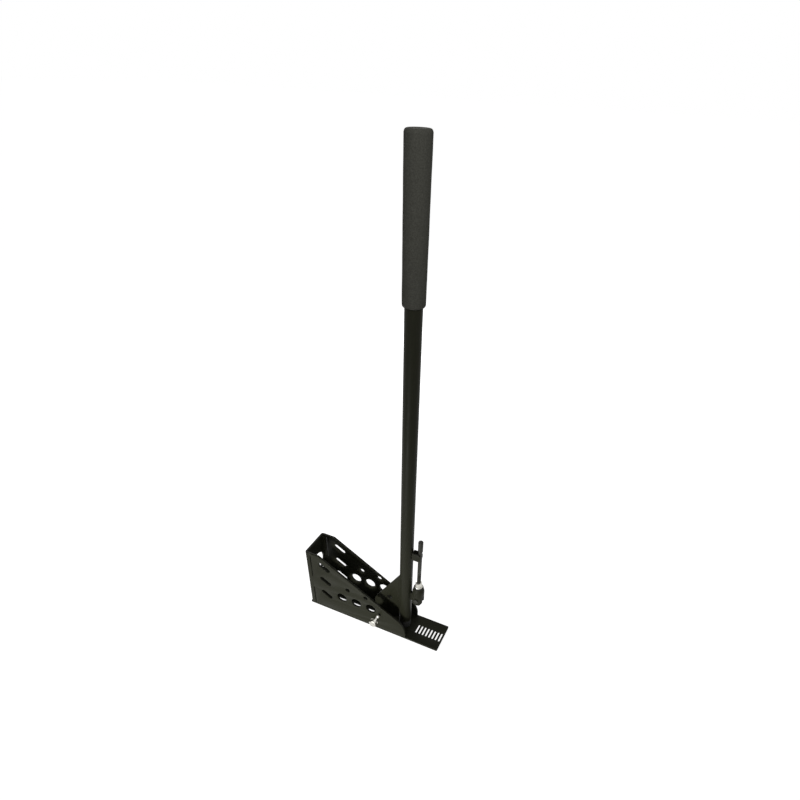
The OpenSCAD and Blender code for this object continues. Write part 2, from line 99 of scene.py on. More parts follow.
BASE_LOW, BASE_HIGH = box("base_plate")
SIDE_LOW, SIDE_HIGH = box("near_side_plate")
TUBE_LOW, TUBE_HIGH = box("lever_tube")
GRIP_LOW, GRIP_HIGH = box("foam_grip")
BLADE_LOW, BLADE_HIGH = box("lever_blade")
PIVOT = joint_place("lever_pivot")
STRUT = joint_place("strut_swing")
LEVER_X = (TUBE_LOW[0] + TUBE_HIGH[0]) / 2
TUBE_R = (TUBE_HIGH[0] - TUBE_LOW[0]) / 2
SIDE_T = SIDE_HIGH[1] - SIDE_LOW[1]
REAR_X = BASE_LOW[0]


# Properties


def length(name, millimetres, description):
    return FloatProperty(name=name, description=description, default=millimetres * MM, min=0.0,
                         subtype="DISTANCE", unit="LENGTH", precision=5)


def angle(name, degrees, description):
    return FloatProperty(name=name, description=description, default=math.radians(degrees), subtype="ANGLE")


def colour(name, value, description):
    return FloatVectorProperty(name=name, description=description, default=value, min=0.0, max=1.0,
                               size=3, subtype="COLOR")


def share(name, value, description):
    return FloatProperty(name=name, description=description, default=value, min=0.0, max=1.0,
                         subtype="FACTOR")


def number(name, value, description):
    return FloatProperty(name=name, description=description, default=value)


class PlateSizes(PropertyGroup):
    """Cut outlines of the base and side plates, measured from the rear face and the floor."""

    edge: length("Edge rounding", 0.5, "Radius of the coated plate edges")
    slope: angle("Slope", 31, "Fall of the side plates' long edge")
    top_flat: length("Top flat", 28, "Rear face to the start of the slope")
    nose_r: length("Nose radius", 36, "Radius between the slope and the nose")
    corner_r: length("Corner radius", 3, "Radius where the slope meets the top")
    foot_r: length("Foot corner radius", 1.5, "Radius of the foot's corners")
    flange: length("Rear flange", 10, "Depth of the rear plate's folded flanges")
    slit: length("Slit", 2, "Open slit between side plate and rear plate")
    land_low: length("Land start", 48, "Lower end of the welded land in the slit")
    land_high: length("Land end", 77, "Upper end of the welded land in the slit")
    top_land: length("Top land", 5, "Height of the land that closes the slit at its top")
    rear_t: length("Rear sheet", 4, "Sheet thickness of the rear plate")
    fold_r: length("Fold radius", 5, "Outer radius of the rear plate's folds")
    port_z: length("Port height", 81, "Height of the master cylinder port")
    port_d: length("Port", 44, "Diameter of the master cylinder port")
    port_bolt_d: length("Cylinder bolt hole", 8.5, "Diameter of the cylinder's bolt holes")
    port_bolt_pitch: length("Cylinder bolt pitch", 60, "Distance between the cylinder's bolt holes")
    port_bolt_turn: angle("Cylinder bolt turn", 35, "Turn of the cylinder's bolt holes from upright")
    big_d: length("Large hole", 20, "Diameter of the large holes")
    big_first: length("First large hole", 71, "Rear face to the first large hole")
    big_pitch: length("Large hole pitch", 30, "Distance between large holes")
    big_z: length("Large hole height", 47.5, "Height of the large holes")
    small_d: length("Small hole", 9, "Diameter of the small holes")
    small_first: length("First small hole", 84.5, "Rear face to the first small hole")
    small_pitch: length("Small hole pitch", 36.4, "Distance between the small holes")
    small_z: length("Small hole height", 74, "Height of the first small hole")
    small_drop: length("Small hole drop", 3, "How much lower the second small hole is")
    vent_x: length("Vent place", 38.5, "Rear face to the vent slots")
    vent_top: length("Top vent", 110.5, "Height of the top vent slot")
    vent_pitch: length("Vent pitch", 35, "Distance between vent slots")
    vent_l: length("Vent length", 25, "End-to-end length of a vent slot")
    vent_w: length("Vent width", 9.5, "Width of a vent slot")
    bolt_hole: length("Pivot hole", 8.2, "Diameter of the pivot bolt's hole")
    floor_slot_l: length("Floor slot length", 60, "End-to-end length of a floor slot")
    floor_slot_w: length("Floor slot width", 6.5, "Width of a floor slot")
    floor_slot_pitch: length("Floor slot pitch", 70, "Distance between the floor slots")
    rack_count: IntProperty(name="Rack slots", description="Cross slots in the foot", default=8, min=1)
    rack_pitch: length("Rack pitch", 6.5, "Distance between cross slots")
    rack_l: length("Rack slot length", 20, "Length of a cross slot")
    rack_w: length("Rack slot width", 3.2, "Width of a cross slot")
    rack_margin: length("Rack margin", 5, "Foot tip to the last cross slot")


class LeverSizes(PropertyGroup):
    """Tube, blade, grip and pivot."""

    wall: length("Tube wall", 2, "Wall of the lever tube")
    boss_r: length("Boss radius", 10.2, "Radius of the pivot boss")
    heel_back: length("Heel back", 2.7, "Heel of the blade behind the pivot")
    heel_rise: length("Heel rise", 31.5, "Heel of the blade above the pivot")
    heel_r: length("Heel radius", 9, "Radius of the blade's heel")
    blade_top: length("Blade top", 131, "Height where the blade meets the tube")
    pin_dx: length("Pin hole forward", 18.5, "Pushrod pin hole in front of the pivot")
    pin_dz: length("Pin hole up", 50, "Pushrod pin hole above the pivot")
    pin_d: length("Pin hole", 10.2, "Diameter of the pushrod pin hole")
    grip_taper: length("Grip taper", 0.4, "How much the grip's radius shrinks towards its lower end")
    grip_round: length("Grip rounding", 3, "Rounding of the grip's ends")
    grip_dish: length("Grip dish", 0.5, "Hollow in the grip's closed end")
    grip_uneven: length("Grip unevenness", 0.1, "Unevenness of the moulded foam")
    bolt_af: length("Bolt flats", 13, "Width across flats of the bolt head and nut")
    bolt_d: length("Bolt", 8, "Thread diameter of the pivot bolt")
    thread_pitch: length("Bolt pitch", 1.25, "Thread pitch of the pivot bolt")
    nipple_lean: angle("Nipple lean", 23, "Lean of the grease nipple towards the foot")
    nipple_l: length("Nipple reach", 27, "Pivot axis to the middle of the nipple's ball")
    nipple_block: length("Nipple flats", 6.6, "Width across flats of the nipple's hexagon")
    nipple_block_h: length("Nipple hexagon height", 4, "Height of the nipple's hexagon")
    nipple_taper: length("Nipple taper", 4, "Height of the taper over the hexagon")
    nipple_neck: length("Nipple neck", 1.9, "Radius of the nipple's neck")
    nipple_ball: length("Nipple ball", 3.2, "Radius of the nipple's ball")
    weld: length("Weld", 1.8, "Radius of the weld beads")


class StrutSizes(PropertyGroup):
    """Lock strut on the front of the tube."""

    lug_t: length("Lug", 6, "Thickness of the eye plate")
    lug_r: length("Eye radius", 8, "Radius of the eye plate")
    pin_d: length("Cross pin", 6, "Diameter of the cross pin")
    barrel_d: length("Barrel", 21, "Diameter of the barrel")
    shoulder: length("Shoulder", 8, "Height of the barrel's tapered shoulder")
    fork_flat: length("Fork width", 18, "Width over the fork's flats")
    fork_gap: length("Fork gap", 6.8, "Width of the slot between the fork's cheeks")
    nut_af: length("Nut flats", 10.5, "Width across flats of the jam nut")
    nut_flange: length("Nut flange", 14.2, "Diameter of the jam nut's flange")
    rod_d: length("Rod", 6.8, "Diameter of the rod")
    rod_pitch: length("Rod pitch", 1, "Thread pitch of the rod")
    rod_thread: length("Rod thread", 34, "Threaded length above the barrel")
    tip_round: length("Tip rounding", 1, "Rounding of the strut tip's end")
    clip_t: length("Clip sheet", 1.5, "Sheet thickness of the stowing clip")
    clip_ear: length("Clip ear", 5, "Corner radius of the clip's ears")


class Finishes(PropertyGroup):
    """Colours and gloss of the materials."""

    coat: colour("Powder coat", (0.0165, 0.017, 0.0105), "Satin black powder coat")
    coat_rub: colour("Rubbed coat", (0.05, 0.05, 0.042), "Powder coat where an edge is rubbed")
    coat_gloss: share("Coat roughness", 0.42, "Roughness of the powder coat")
    oxide: colour("Black oxide", (0.018, 0.018, 0.013), "Black oxide on the strut rod")
    foam: colour("Foam", (0.074, 0.074, 0.063), "Black foam rubber")
    # Painted shade: darker foam laid into the hollows of the foam's grain
    foam_pore_shade: colour("Foam pores", (0.056, 0.056, 0.047), "Foam in its pores")
    zinc: colour("Zinc", (0.62, 0.61, 0.56), "Bright zinc plate")
    zinc_dull: colour("Dull zinc", (0.40, 0.39, 0.355), "Zinc plate where it has dulled")
    rubber: colour("Rubber", (0.012, 0.012, 0.011), "Black rubber")
    bronze: colour("Bronze", (0.42, 0.26, 0.11), "Sintered bronze")
    plastic: colour("Plastic", (0.02, 0.02, 0.02), "Black plastic")


class Studio(PropertyGroup):
    """Camera and lights."""

    azimuth: angle("Azimuth", 22.57, "Turn of the camera towards the foot")
    elevation: angle("Elevation", 40.2, "Camera above the horizon")
    roll: angle("Roll", 2.7, "Turn of the camera about its axis")
    distance: length("Distance", 798.1, "Camera to the point that it looks at")
    aim_x: length("Aim forward", 105, "Point that the camera looks at, along the base")
    aim_z: length("Aim height", 286.5, "Point that the camera looks at, above the floor")
    lens: number("Lens", 23.68, "Focal length on a 36 mm sensor")
    shift_x: number("Shift across", -0.0251, "Sideways lens shift")
    shift_y: number("Shift up", 0.1391, "Upward lens shift")
    key_power: number("Key", 1.05, "Power of the low key light in watts")
    key_size: length("Key size", 140, "Diameter of the key light")
    key_spread: angle("Key spread", 90, "Opening of the key light's beam")
    fill_power: number("Fill", 0.85, "Power of the high fill light in watts")
    fill_size: length("Fill size", 350, "Diameter of the fill light")
    fill_spread: angle("Fill spread", 70, "Opening of the fill light's beam")
    back_power: number("Back", 9.0, "Power of the light behind the object in watts")
    back_size: length("Back size", 900, "Diameter of the light behind the object")
    back_spread: angle("Back spread", 180, "Opening of that light's beam")
    sky: number("Sky", 0.13, "Strength of the soft surrounding light")
    floor_reach: length("Floor reach", 20000, "Half the width of the floor")
    floor_drop: length("Floor drop", 0.3, "How far the floor lies below the base plate")
    floor_white: share("Floor white", 0.8, "Lightness of the floor")
    floor_glow: share("Floor glow", 0.9, "Glow of the floor where it is seen")


# Outlines


def arc_angles(radius, start, turn):
    """Angles along an arc, close enough that its chords stay within FACET of it."""
    step = 2 * math.acos(1 - min(FACET / radius, 0.5))
    return start + turn * np.linspace(0.0, 1.0, max(3, math.ceil(abs(turn) / step) + 1))


def round_angles(count):
    """Evenly spaced angles once round."""
    return TAU * np.arange(count) / count


def on_arc(centre, radius, angles):
    return np.asarray(centre) + radius * np.stack([np.cos(angles), np.sin(angles)], -1)


def fillet(corners, closed=True):
    """Line through corners (x, y, r), each rounded by the arc of radius r that touches both its sides."""
    runs = []
    count = len(corners)
    for i, (x, y, r) in enumerate(corners):
        here = np.array((x, y))
        if r == 0 or (not closed and i in (0, count - 1)):
            runs.append(here[None])
            continue
        back = np.array(corners[i - 1][:2]) - here
        ahead = np.array(corners[(i + 1) % count][:2]) - here
        back, ahead = back / np.hypot(*back), ahead / np.hypot(*ahead)
        half = 0.5 * math.acos(float(back @ ahead))
        middle = (back + ahead) / np.hypot(*(back + ahead))
        centre = here + middle * r / math.sin(half)
        first = here + back * r / math.tan(half) - centre
        last = here + ahead * r / math.tan(half) - centre
        start = math.atan2(first[1], first[0])
        turn = (math.atan2(last[1], last[0]) - start + math.pi) % TAU - math.pi
        runs.append(on_arc(centre, r, arc_angles(r, start, turn)))
    return np.concatenate(runs)


def belt(circles):
    """Outline of a belt round circles (x, y, r) given counter-clockwise: arcs joined by common tangents."""
    circles = np.asarray(circles, float)
    step = np.roll(circles, -1, 0) - circles
    reach = np.hypot(step[:, 0], step[:, 1])
    along = step[:, :2] / reach[:, None]
    k = -step[:, 2] / reach
    normal = along * k[:, None] + np.stack([along[:, 1], -along[:, 0]], -1) * np.sqrt(1 - k * k)[:, None]
    leaves = np.arctan2(normal[:, 1], normal[:, 0])
    arrives = np.roll(leaves, 1)
    turns = (leaves - arrives) % TAU
    return np.concatenate([on_arc(c[:2], c[2], arc_angles(c[2], a, t))
                           for c, a, t in zip(circles, arrives, turns)])


def round_hole(x, y, diameter):
    """Circle as a clockwise hole."""
    return on_arc((x, y), diameter / 2, arc_angles(diameter / 2, 0.0, -TAU)[:-1])


def slot_hole(x, y, slot_length, width, tilt=0.0):
    """Slot with round ends as a clockwise hole, its length turned by tilt."""
    half = (slot_length - width) / 2 * np.array((math.cos(tilt), math.sin(tilt)))
    ends = [(x - half[0], y - half[1], width / 2), (x + half[0], y + half[1], width / 2)]
    return belt(ends)[::-1]


# Surfaces


class Shell(NamedTuple):
    """Closed surface: points, four-sided faces, flat three-sided faces and a mask of the rounded edges."""

    points: np.ndarray
    quads: np.ndarray
    tris: np.ndarray
    edge: np.ndarray

    def moved(self, place):
        """The same surface with its points sent through a function."""
        return self._replace(points=place(self.points))


def joined(*shells):
    """Several surfaces as one."""
    firsts = np.cumsum([0] + [len(s.points) for s in shells[:-1]])
    return Shell(
        np.concatenate([s.points for s in shells]),
        np.concatenate([s.quads + f for s, f in zip(shells, firsts)]),
        np.concatenate([s.tris + f for s, f in zip(shells, firsts)]),
        np.concatenate([s.edge for s in shells]),
    )


def grid_quads(rows, columns, first=0, closed=False):
    """Faces of a grid whose columns wrap round, and whose rows do too if closed."""
    i = np.arange(rows if closed else rows - 1)[:, None]
    j = np.arange(columns)[None]
    below, right = (i + 1) % rows, (j + 1) % columns
    corners = [i * columns + j, below * columns + j, below * columns + right, i * columns + right]
    return first + np.stack(np.broadcast_arrays(*corners), -1).reshape(-1, 4)


def end_fans(rows, columns):
    """Fans that close a grid's first and last row, on two points that come after the grid's own."""
    around = np.arange(columns)
    ahead = (around + 1) % columns
    last = (rows - 1) * columns
    pole = np.full(columns, rows * columns)
    return np.concatenate([np.stack([pole, around, ahead], -1),
                           np.stack([pole + 1, last + ahead, last + around], -1)])


def outward(loop):
    """Mitred offset direction to the right of a loop's travel, which is away from the plate's metal."""
    ahead = np.roll(loop, -1, -2) - loop
    ahead = ahead / np.linalg.norm(ahead, axis=-1, keepdims=True)
    after = np.stack([ahead[..., 1], -ahead[..., 0]], -1)
    before = np.roll(after, 1, -2)
    return (before + after) / (1 + (before * after).sum(-1, keepdims=True))


def edge_rows(thickness, edge, layers=0):
    """Heights of a plate's rows from its upper face down, and how far each lies inside the outline.

    At angle a of the rounded edge a row lies e (1 - cos a) below the face and e (1 - sin a) inside the
    outline. Extra layers share out the straight stretch between both edges.
    """
    a = np.linspace(0.0, math.pi / 2, 4)
    rim = thickness / 2 - edge * (1 - np.cos(a))
    inset = edge * (1 - np.sin(a))
    straight = (thickness / 2 - edge) * np.linspace(1.0, -1.0, layers + 2)[1:-1]
    return (np.concatenate([rim, straight, -rim[::-1]]),
            np.concatenate([inset, 0 * straight, inset[::-1]]))


def fill(loops):
    """Counter-clockwise triangles that fill an outline with holes, numbered along the joined loops."""
    # The filling works in millimetres, because its smallest step is a fixed number
    tris = np.array(tessellate_polygon([np.pad(loop / MM, ((0, 0), (0, 1))).tolist() for loop in loops]))
    one, two, three = (np.concatenate(loops)[tris[:, i]].T for i in range(3))
    turn = (two - one)[0] * (three - one)[1] - (two - one)[1] * (three - one)[0]
    return np.where((turn < 0)[:, None], tris[:, ::-1], tris)


def plate(loops, thickness, edge, layers=0, cuts=()):
    """Flat plate in (u, v, h) with a counter-clockwise outline and clockwise holes, its edges rounded.

    A loop is one outline, or one for each row. Cuts across u share the faces out into panels, for a plate
    that is folded afterwards.
    """
    height, inset = edge_rows(thickness, edge, layers)
    rows = len(height)
    points, quads, upper, lower, first = [], [], [], [], 0
    for loop in loops:
        rings = np.broadcast_to(loop, (rows, *loop.shape[-2:]))
        rings = rings - inset[:, None, None] * outward(rings)
        count = rings.shape[1]
        points.append(np.dstack([rings, np.broadcast_to(height[:, None], (rows, count))]).reshape(-1, 3))
        quads.append(grid_quads(rows, count, first))
        upper.append(first + np.arange(count))
        lower.append(first + (rows - 1) * count + np.arange(count))
        first += rows * count
    points = np.concatenate(points)
    tris = []
    for start, end in zip([-math.inf, *cuts], [*cuts, math.inf]):
        for face, way in ((upper, 1), (lower, -1)):
            panel = [i[(points[i, 0] > start - FACET) & (points[i, 0] < end + FACET)] for i in face]
            panel = [i for i in panel if len(i)]
            tris.append(np.concatenate(panel)[fill([points[i, :2] for i in panel])][:, ::way])
    mask = np.ones(len(points))
    mask[np.concatenate(upper + lower)] = 0.0
    return Shell(points, np.concatenate(quads), np.concatenate(tris), mask)


def upright(y):
    """Stands a plate's (u, v, h) up in x and z, its middle at y."""
    return lambda p: np.stack([p[:, 0], y - p[:, 2], p[:, 1]], -1)


def level(z):
    """Lays a plate's (u, v, h) flat in x and y, its middle at z."""
    return lambda p: p + np.array((0.0, 0.0, z))


def across(x):
    """Stands a plate's (u, v, h) up in y and z, its middle at x."""
    return lambda p: np.stack([x + p[:, 2], p[:, 0], p[:, 1]], -1)


def folded(back, flat, middle_r):
    """Stands a sheet's (u, z, h) up across the base with its middle at back, and folds both ends forward.

    Past |u| = flat the sheet turns by (|u| - flat) / middle_r, up to a quarter turn, and then runs
    straight.
    """
    def place(p):
        u, z, h = p.T
        turn = np.clip((abs(u) - flat) / middle_r, 0.0, math.pi / 2)
        straight = np.maximum(abs(u) - flat - middle_r * math.pi / 2, 0.0)
        x = back + middle_r - (middle_r - h) * np.cos(turn) + straight
        y = np.minimum(abs(u), flat) + (middle_r - h) * np.sin(turn)
        return np.stack([x, np.sign(u) * y, z], -1)
    return place


def aimed(origin, direction, side=(0, 1, 0)):
    """Moves the local origin to a place, local Z to a direction and local Y as near to side as it goes."""
    z = np.array(direction, float)
    x = np.cross(side, z)
    if not x.any():
        x = np.array((1.0, 0.0, 0.0))
    x, z = x / np.linalg.norm(x), z / np.linalg.norm(z)
    turn = np.stack([x, np.cross(z, x), z])
    return lambda p: p @ turn + np.asarray(origin)


def standing(x, z=0.0):
    """Stands a turned piece upright at x, its origin at z."""
    return aimed((x, 0, z), (0, 0, 1))


def lying(joint, y, way):
    """Lays a turned piece along a joint's axis, its origin at y and its top towards way, 1 or -1."""
    return aimed((joint[0], y, joint[2]), (0, way, 0))


def revolve(radius, height, poles):
    """Surface of radius(row, angle) and height(row, angle) about Z, its rows running down the outside.

    With poles, the heights of two points on the axis, its ends are closed by fans; without, the last
    row meets the first one as in a ring.
    """
    radius, height = np.broadcast_arrays(radius, height)
    rows, count = radius.shape
    theta = round_angles(count)
    points = np.stack([radius * np.cos(theta), radius * np.sin(theta), height], -1).reshape(-1, 3)
    quads = grid_quads(rows, count, closed=poles is None)
    tris = np.zeros((0, 3), int)
    if poles is not None:
        tris = end_fans(rows, count)
        points = np.concatenate([points, [(0, 0, poles[0]), (0, 0, poles[1])]])
    return Shell(points, quads, tris, np.zeros(len(points)))


def turned(corners, count=64):
    """Solid turned from profile corners (r, z, rounding) that run from its upper pole to its lower."""
    line = fillet(corners, closed=False)
    inner = line[1:-1]
    return revolve(inner[:, :1] + np.zeros(count), inner[:, 1:], (line[0, 1], line[-1, 1]))


def turned_ring(corners, count=64):
    """Ring turned from a closed profile (r, z, rounding) that runs down its outside and up its bore."""
    line = fillet(corners)
    return revolve(line[:, :1] + np.zeros(count), line[:, 1:], None)


def hexagon(flats, low, high, upper_rim=0.475, lower_rim=0.475, count=72):
    """Hexagon bar from low to high, both ends cut by 30 degree cones.

    Its reach is f / (2 cos b), with b the angle from the nearest flat's middle. A cone meets its end at
    a share of f, the rim, and lowers the edge by the rest of the reach times tan 30.
    """
    theta = round_angles(count)
    reach = flats / 2 / np.cos(theta % (TAU / 6) - TAU / 12)
    fall = math.tan(math.radians(30))
    upper, lower = (np.full(count, rim * flats) for rim in (upper_rim, lower_rim))
    radius = np.stack([upper, reach, reach, lower])
    height = np.stack([0 * reach + high, high - (reach - upper) * fall, low + (reach - lower) * fall,
                       0 * reach + low])
    return revolve(radius, height, (high, low))


def threaded(diameter, pitch, low, high, count=36):
    """Threaded bar: the radius falls by a triangle wave of z / pitch - angle / turn, gone at both ends."""
    depth, rows_a_turn = 0.54 * pitch, 6
    z = np.linspace(high, low, max(2, int((high - low) / pitch * rows_a_turn)))[:, None]
    phase = z / pitch - np.arange(count) / count
    wave = np.abs(2 * (phase % 1.0) - 1)
    run_out = np.clip(np.minimum(high - z, z - low) / pitch, 0.0, 1.0)
    lead = depth * (1 - np.clip((high - z) / pitch, 0.0, 1.0))
    return revolve(diameter / 2 - lead - depth * wave * run_out, z, (high, low))


def bead(path, radius, up, closed=False):
    """Weld bead: a circle carried along a path, swelling in a ripple and closing to round ends."""
    sides, ripple, ripple_l = 10, 0.12, 1.5 * radius
    step = np.roll(path, -1, 0) - path if closed else np.gradient(path, axis=0)
    along = step / np.linalg.norm(step, axis=1)[:, None]
    side = np.cross(along, up)
    side = side / np.linalg.norm(side, axis=1)[:, None]
    rise = np.cross(side, along)
    gone = np.concatenate([[0.0], np.cumsum(np.linalg.norm(np.diff(path, axis=0), axis=1))])
    swell = radius * (1 + ripple * np.sin(TAU * gone / ripple_l))
    if not closed:
        near_end = np.minimum(gone, gone[-1] - gone) / (2 * radius)
        swell = swell * np.sqrt(1 - (1 - np.clip(near_end, 0.02, 1.0)) ** 2)
    theta = round_angles(sides)
    circle = np.cos(theta)[None, :, None] * side[:, None] + np.sin(theta)[None, :, None] * rise[:, None]
    points = (path[:, None] + swell[:, None, None] * circle).reshape(-1, 3)
    quads = grid_quads(len(path), sides, closed=closed)
    tris = np.zeros((0, 3), int)
    if not closed:
        tris = end_fans(len(path), sides)
        points = np.concatenate([points, path[:1], path[-1:]])
    return Shell(points, quads, tris, np.zeros(len(points)))


def straight_bead(start, end, radius):
    """Weld bead along a straight line."""
    start, end = np.array(start), np.array(end)
    count = max(8, int(np.linalg.norm(end - start) / (0.35 * radius)))
    path = start + (end - start) * np.linspace(0.0, 1.0, count)[:, None]
    up = np.array((1.0, 0.0, 0.0)) if abs(end - start)[2] > MM else np.array((0.0, 0.0, 1.0))
    return bead(path, radius, up)


# Pieces


def add_piece(name, shell, material, body, replaces):
    """Puts a surface into the scene as a piece that rides on a body and stands for frame nodes."""
    mesh = bpy.data.meshes.new(name)
    mesh.from_pydata(shell.points, [], shell.quads.tolist() + shell.tris.tolist())
    smooth = np.arange(len(mesh.polygons)) < len(shell.quads)
    mesh.polygons.foreach_set("use_smooth", smooth)
    mesh.set_sharp_from_angle(angle=SHARP)
    mesh.attributes.new("edge", "FLOAT", "POINT").data.foreach_set("value", shell.edge.astype(np.float32))
    mesh.materials.append(material)
    piece = bpy.data.objects.new(name, mesh)
    bpy.context.scene.collection.objects.link(piece)
    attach(piece, body)
    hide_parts(*replaces)
    return piece


def dress(node, material):
    """Gives a frame node that stays in view its finished material."""
    mesh = frame["nodes"][node].data
    mesh.materials.clear()
    mesh.materials.append(material)


# Materials


def new_group(name, inputs, outputs):
    """Empty shader node group with float inputs {name: default} and float outputs."""
    group = bpy.data.node_groups.new(name, "ShaderNodeTree")
    for socket, default in inputs.items():
        made = group.interface.new_socket(socket, in_out="INPUT", socket_type="NodeSocketFloat")
        made.default_value = default
    for socket in outputs:
        group.interface.new_socket(socket, in_out="OUTPUT", socket_type="NodeSocketFloat")
    return group, group.nodes.new("NodeGroupInput").outputs, group.nodes.new("NodeGroupOutput").inputs


def put(tree, kind, values=None, **settings):
    """Adds a node with its settings; an input gets a value, or a link if it is given an output."""
    node = tree.nodes.new(kind)
    for setting, value in settings.items():
        setattr(node, setting, value)
    for socket, value in (values or {}).items():
        if isinstance(value, bpy.types.NodeSocket):
            tree.links.new(value, node.inputs[socket])
        else:
            node.inputs[socket].default_value = value
    return node


def grain_group():
    """Fine grain and broad patches of a surface: noise at two scales on object coordinates."""
    name = "Surface Grain"
    if name in bpy.data.node_groups:
        return bpy.data.node_groups[name]
    tree, inside, out = new_group(name, {"Grain Scale": 1500.0, "Patch Scale": 30.0}, ["Height", "Patch"])
    place = put(tree, "ShaderNodeTexCoord").outputs["Object"]
    for scale, detail, rough, socket in (("Grain Scale", 2.0, 0.5, "Height"),
                                         ("Patch Scale", 3.0, 0.6, "Patch")):
        noise = put(tree, "ShaderNodeTexNoise", {"Vector": place, "Scale": inside[scale],
                                                 "Detail": detail, "Roughness": rough})
        tree.links.new(noise.outputs["Fac"], out[socket])
    return tree


def rub_group():
    """Rubbed edges: the piece's own edge mask, broken up by noise."""
    name = "Rubbed Edges"
    if name in bpy.data.node_groups:
        return bpy.data.node_groups[name]
    tree, inside, out = new_group(name, {"Amount": 0.5}, ["Mask"])
    edge = put(tree, "ShaderNodeAttribute", attribute_name="edge")
    place = put(tree, "ShaderNodeTexCoord")
    noise = put(tree, "ShaderNodeTexNoise", {"Vector": place.outputs["Object"], "Scale": 90.0,
                                             "Detail": 4.0, "Roughness": 0.65})
    broken = put(tree, "ShaderNodeMapRange", {"Value": noise.outputs["Fac"], "From Min": 0.42,
                                              "From Max": 0.66})
    worn = put(tree, "ShaderNodeMath", {0: edge.outputs["Fac"], 1: broken.outputs["Result"]},
               operation="MULTIPLY")
    scaled = put(tree, "ShaderNodeMath", {0: worn.outputs["Value"], 1: inside["Amount"]},
                 operation="MULTIPLY")
    tree.links.new(scaled.outputs["Value"], out["Mask"])
    return tree


# Values of the grain between which a second colour comes in
FOLLOWS = {"Patch": (0.35, 0.65), "Height": (0.62, 0.35)}


def surface(name, base, rough, bump, scales, constants, other=None, follows="Patch", rub=0.0):
    """Material with roughness and bump from its grain, and a second colour if one is given.

    rough is the lowest and highest roughness, bump the depth of the grain in metres, scales the grain and
    patch scales, and constants the values that are the same all over. The second colour follows the
    grain's "Patch" or "Height", or the rubbed edges by the share rub.
    """
    if name in bpy.data.materials:
        return bpy.data.materials[name]
    material = bpy.data.materials.new(name)
    material.use_nodes = True
    tree = material.node_tree
    tree.nodes.clear()
    grain = put(tree, "ShaderNodeGroup", {"Grain Scale": scales[0], "Patch Scale": scales[1]},
                node_tree=grain_group()).outputs
    gloss = put(tree, "ShaderNodeMapRange", {"Value": grain["Patch"], "From Min": 0.3, "From Max": 0.7,
                                             "To Min": rough[0], "To Max": rough[1]})
    relief = put(tree, "ShaderNodeBump", {"Height": grain["Height"], "Strength": 1.0, "Distance": bump})
    paint = (*base, 1.0)
    if other is not None:
        if rub:
            part = put(tree, "ShaderNodeGroup", {"Amount": rub}, node_tree=rub_group()).outputs["Mask"]
        else:
            start, end = FOLLOWS[follows]
            part = put(tree, "ShaderNodeMapRange", {"Value": grain[follows], "From Min": start,
                                                    "From Max": end}).outputs["Result"]
        paint = put(tree, "ShaderNodeMix", {"Factor": part, "A": paint, "B": (*other, 1.0)},
                    data_type="RGBA").outputs["Result"]
    shader = put(tree, "ShaderNodeBsdfPrincipled", {
        **constants, "Base Color": paint, "Roughness": gloss.outputs["Result"],
        "Normal": relief.outputs["Normal"],
    })
    put(tree, "ShaderNodeOutputMaterial", {"Surface": shader.outputs["BSDF"]})
    return material


def powder_coat(finish):
    gloss = finish.coat_gloss
    return surface("Powder Coat", finish.coat, rough=(gloss - 0.05, gloss + 0.08), bump=0.02 * MM,
                   scales=(900.0, 24.0), constants={"Specular IOR Level": 0.06}, other=finish.coat_rub,
                   rub=0.6)


def black_oxide(finish):
    return surface("Black Oxide", finish.oxide, rough=(0.32, 0.5), bump=0.01 * MM, scales=(1600.0, 60.0),
                   constants={"Specular IOR Level": 0.2})


def foam_rubber(finish):
    return surface("Foam Rubber", finish.foam, rough=(0.85, 1.0), bump=0.12 * MM, scales=(750.0, 40.0),
                   # The second colour follows the grain's low Height, painting shade into the pores that the
                   # bump sinks
                   constants={"Specular IOR Level": 0.1}, other=finish.foam_pore_shade, follows="Height")


def zinc_plate(finish):
    return surface("Zinc Plate", finish.zinc, rough=(0.22, 0.42), bump=0.01 * MM, scales=(1400.0, 160.0),
                   constants={"Metallic": 1.0}, other=finish.zinc_dull)


def black_rubber(finish):
    return surface("Black Rubber", finish.rubber, rough=(0.6, 0.8), bump=0.03 * MM, scales=(1200.0, 70.0),
                   constants={"Specular IOR Level": 0.35})


def sintered_bronze(finish):
    return surface("Sintered Bronze", finish.bronze, rough=(0.4, 0.6), bump=0.02 * MM,
                   scales=(1800.0, 90.0), constants={"Metallic": 1.0})


def plug_plastic(finish):
    return surface("Plug Plastic", finish.plastic, rough=(0.4, 0.55), bump=0.01 * MM,
                   scales=(1000.0, 40.0), constants={"Specular IOR Level": 0.5})


# Operators


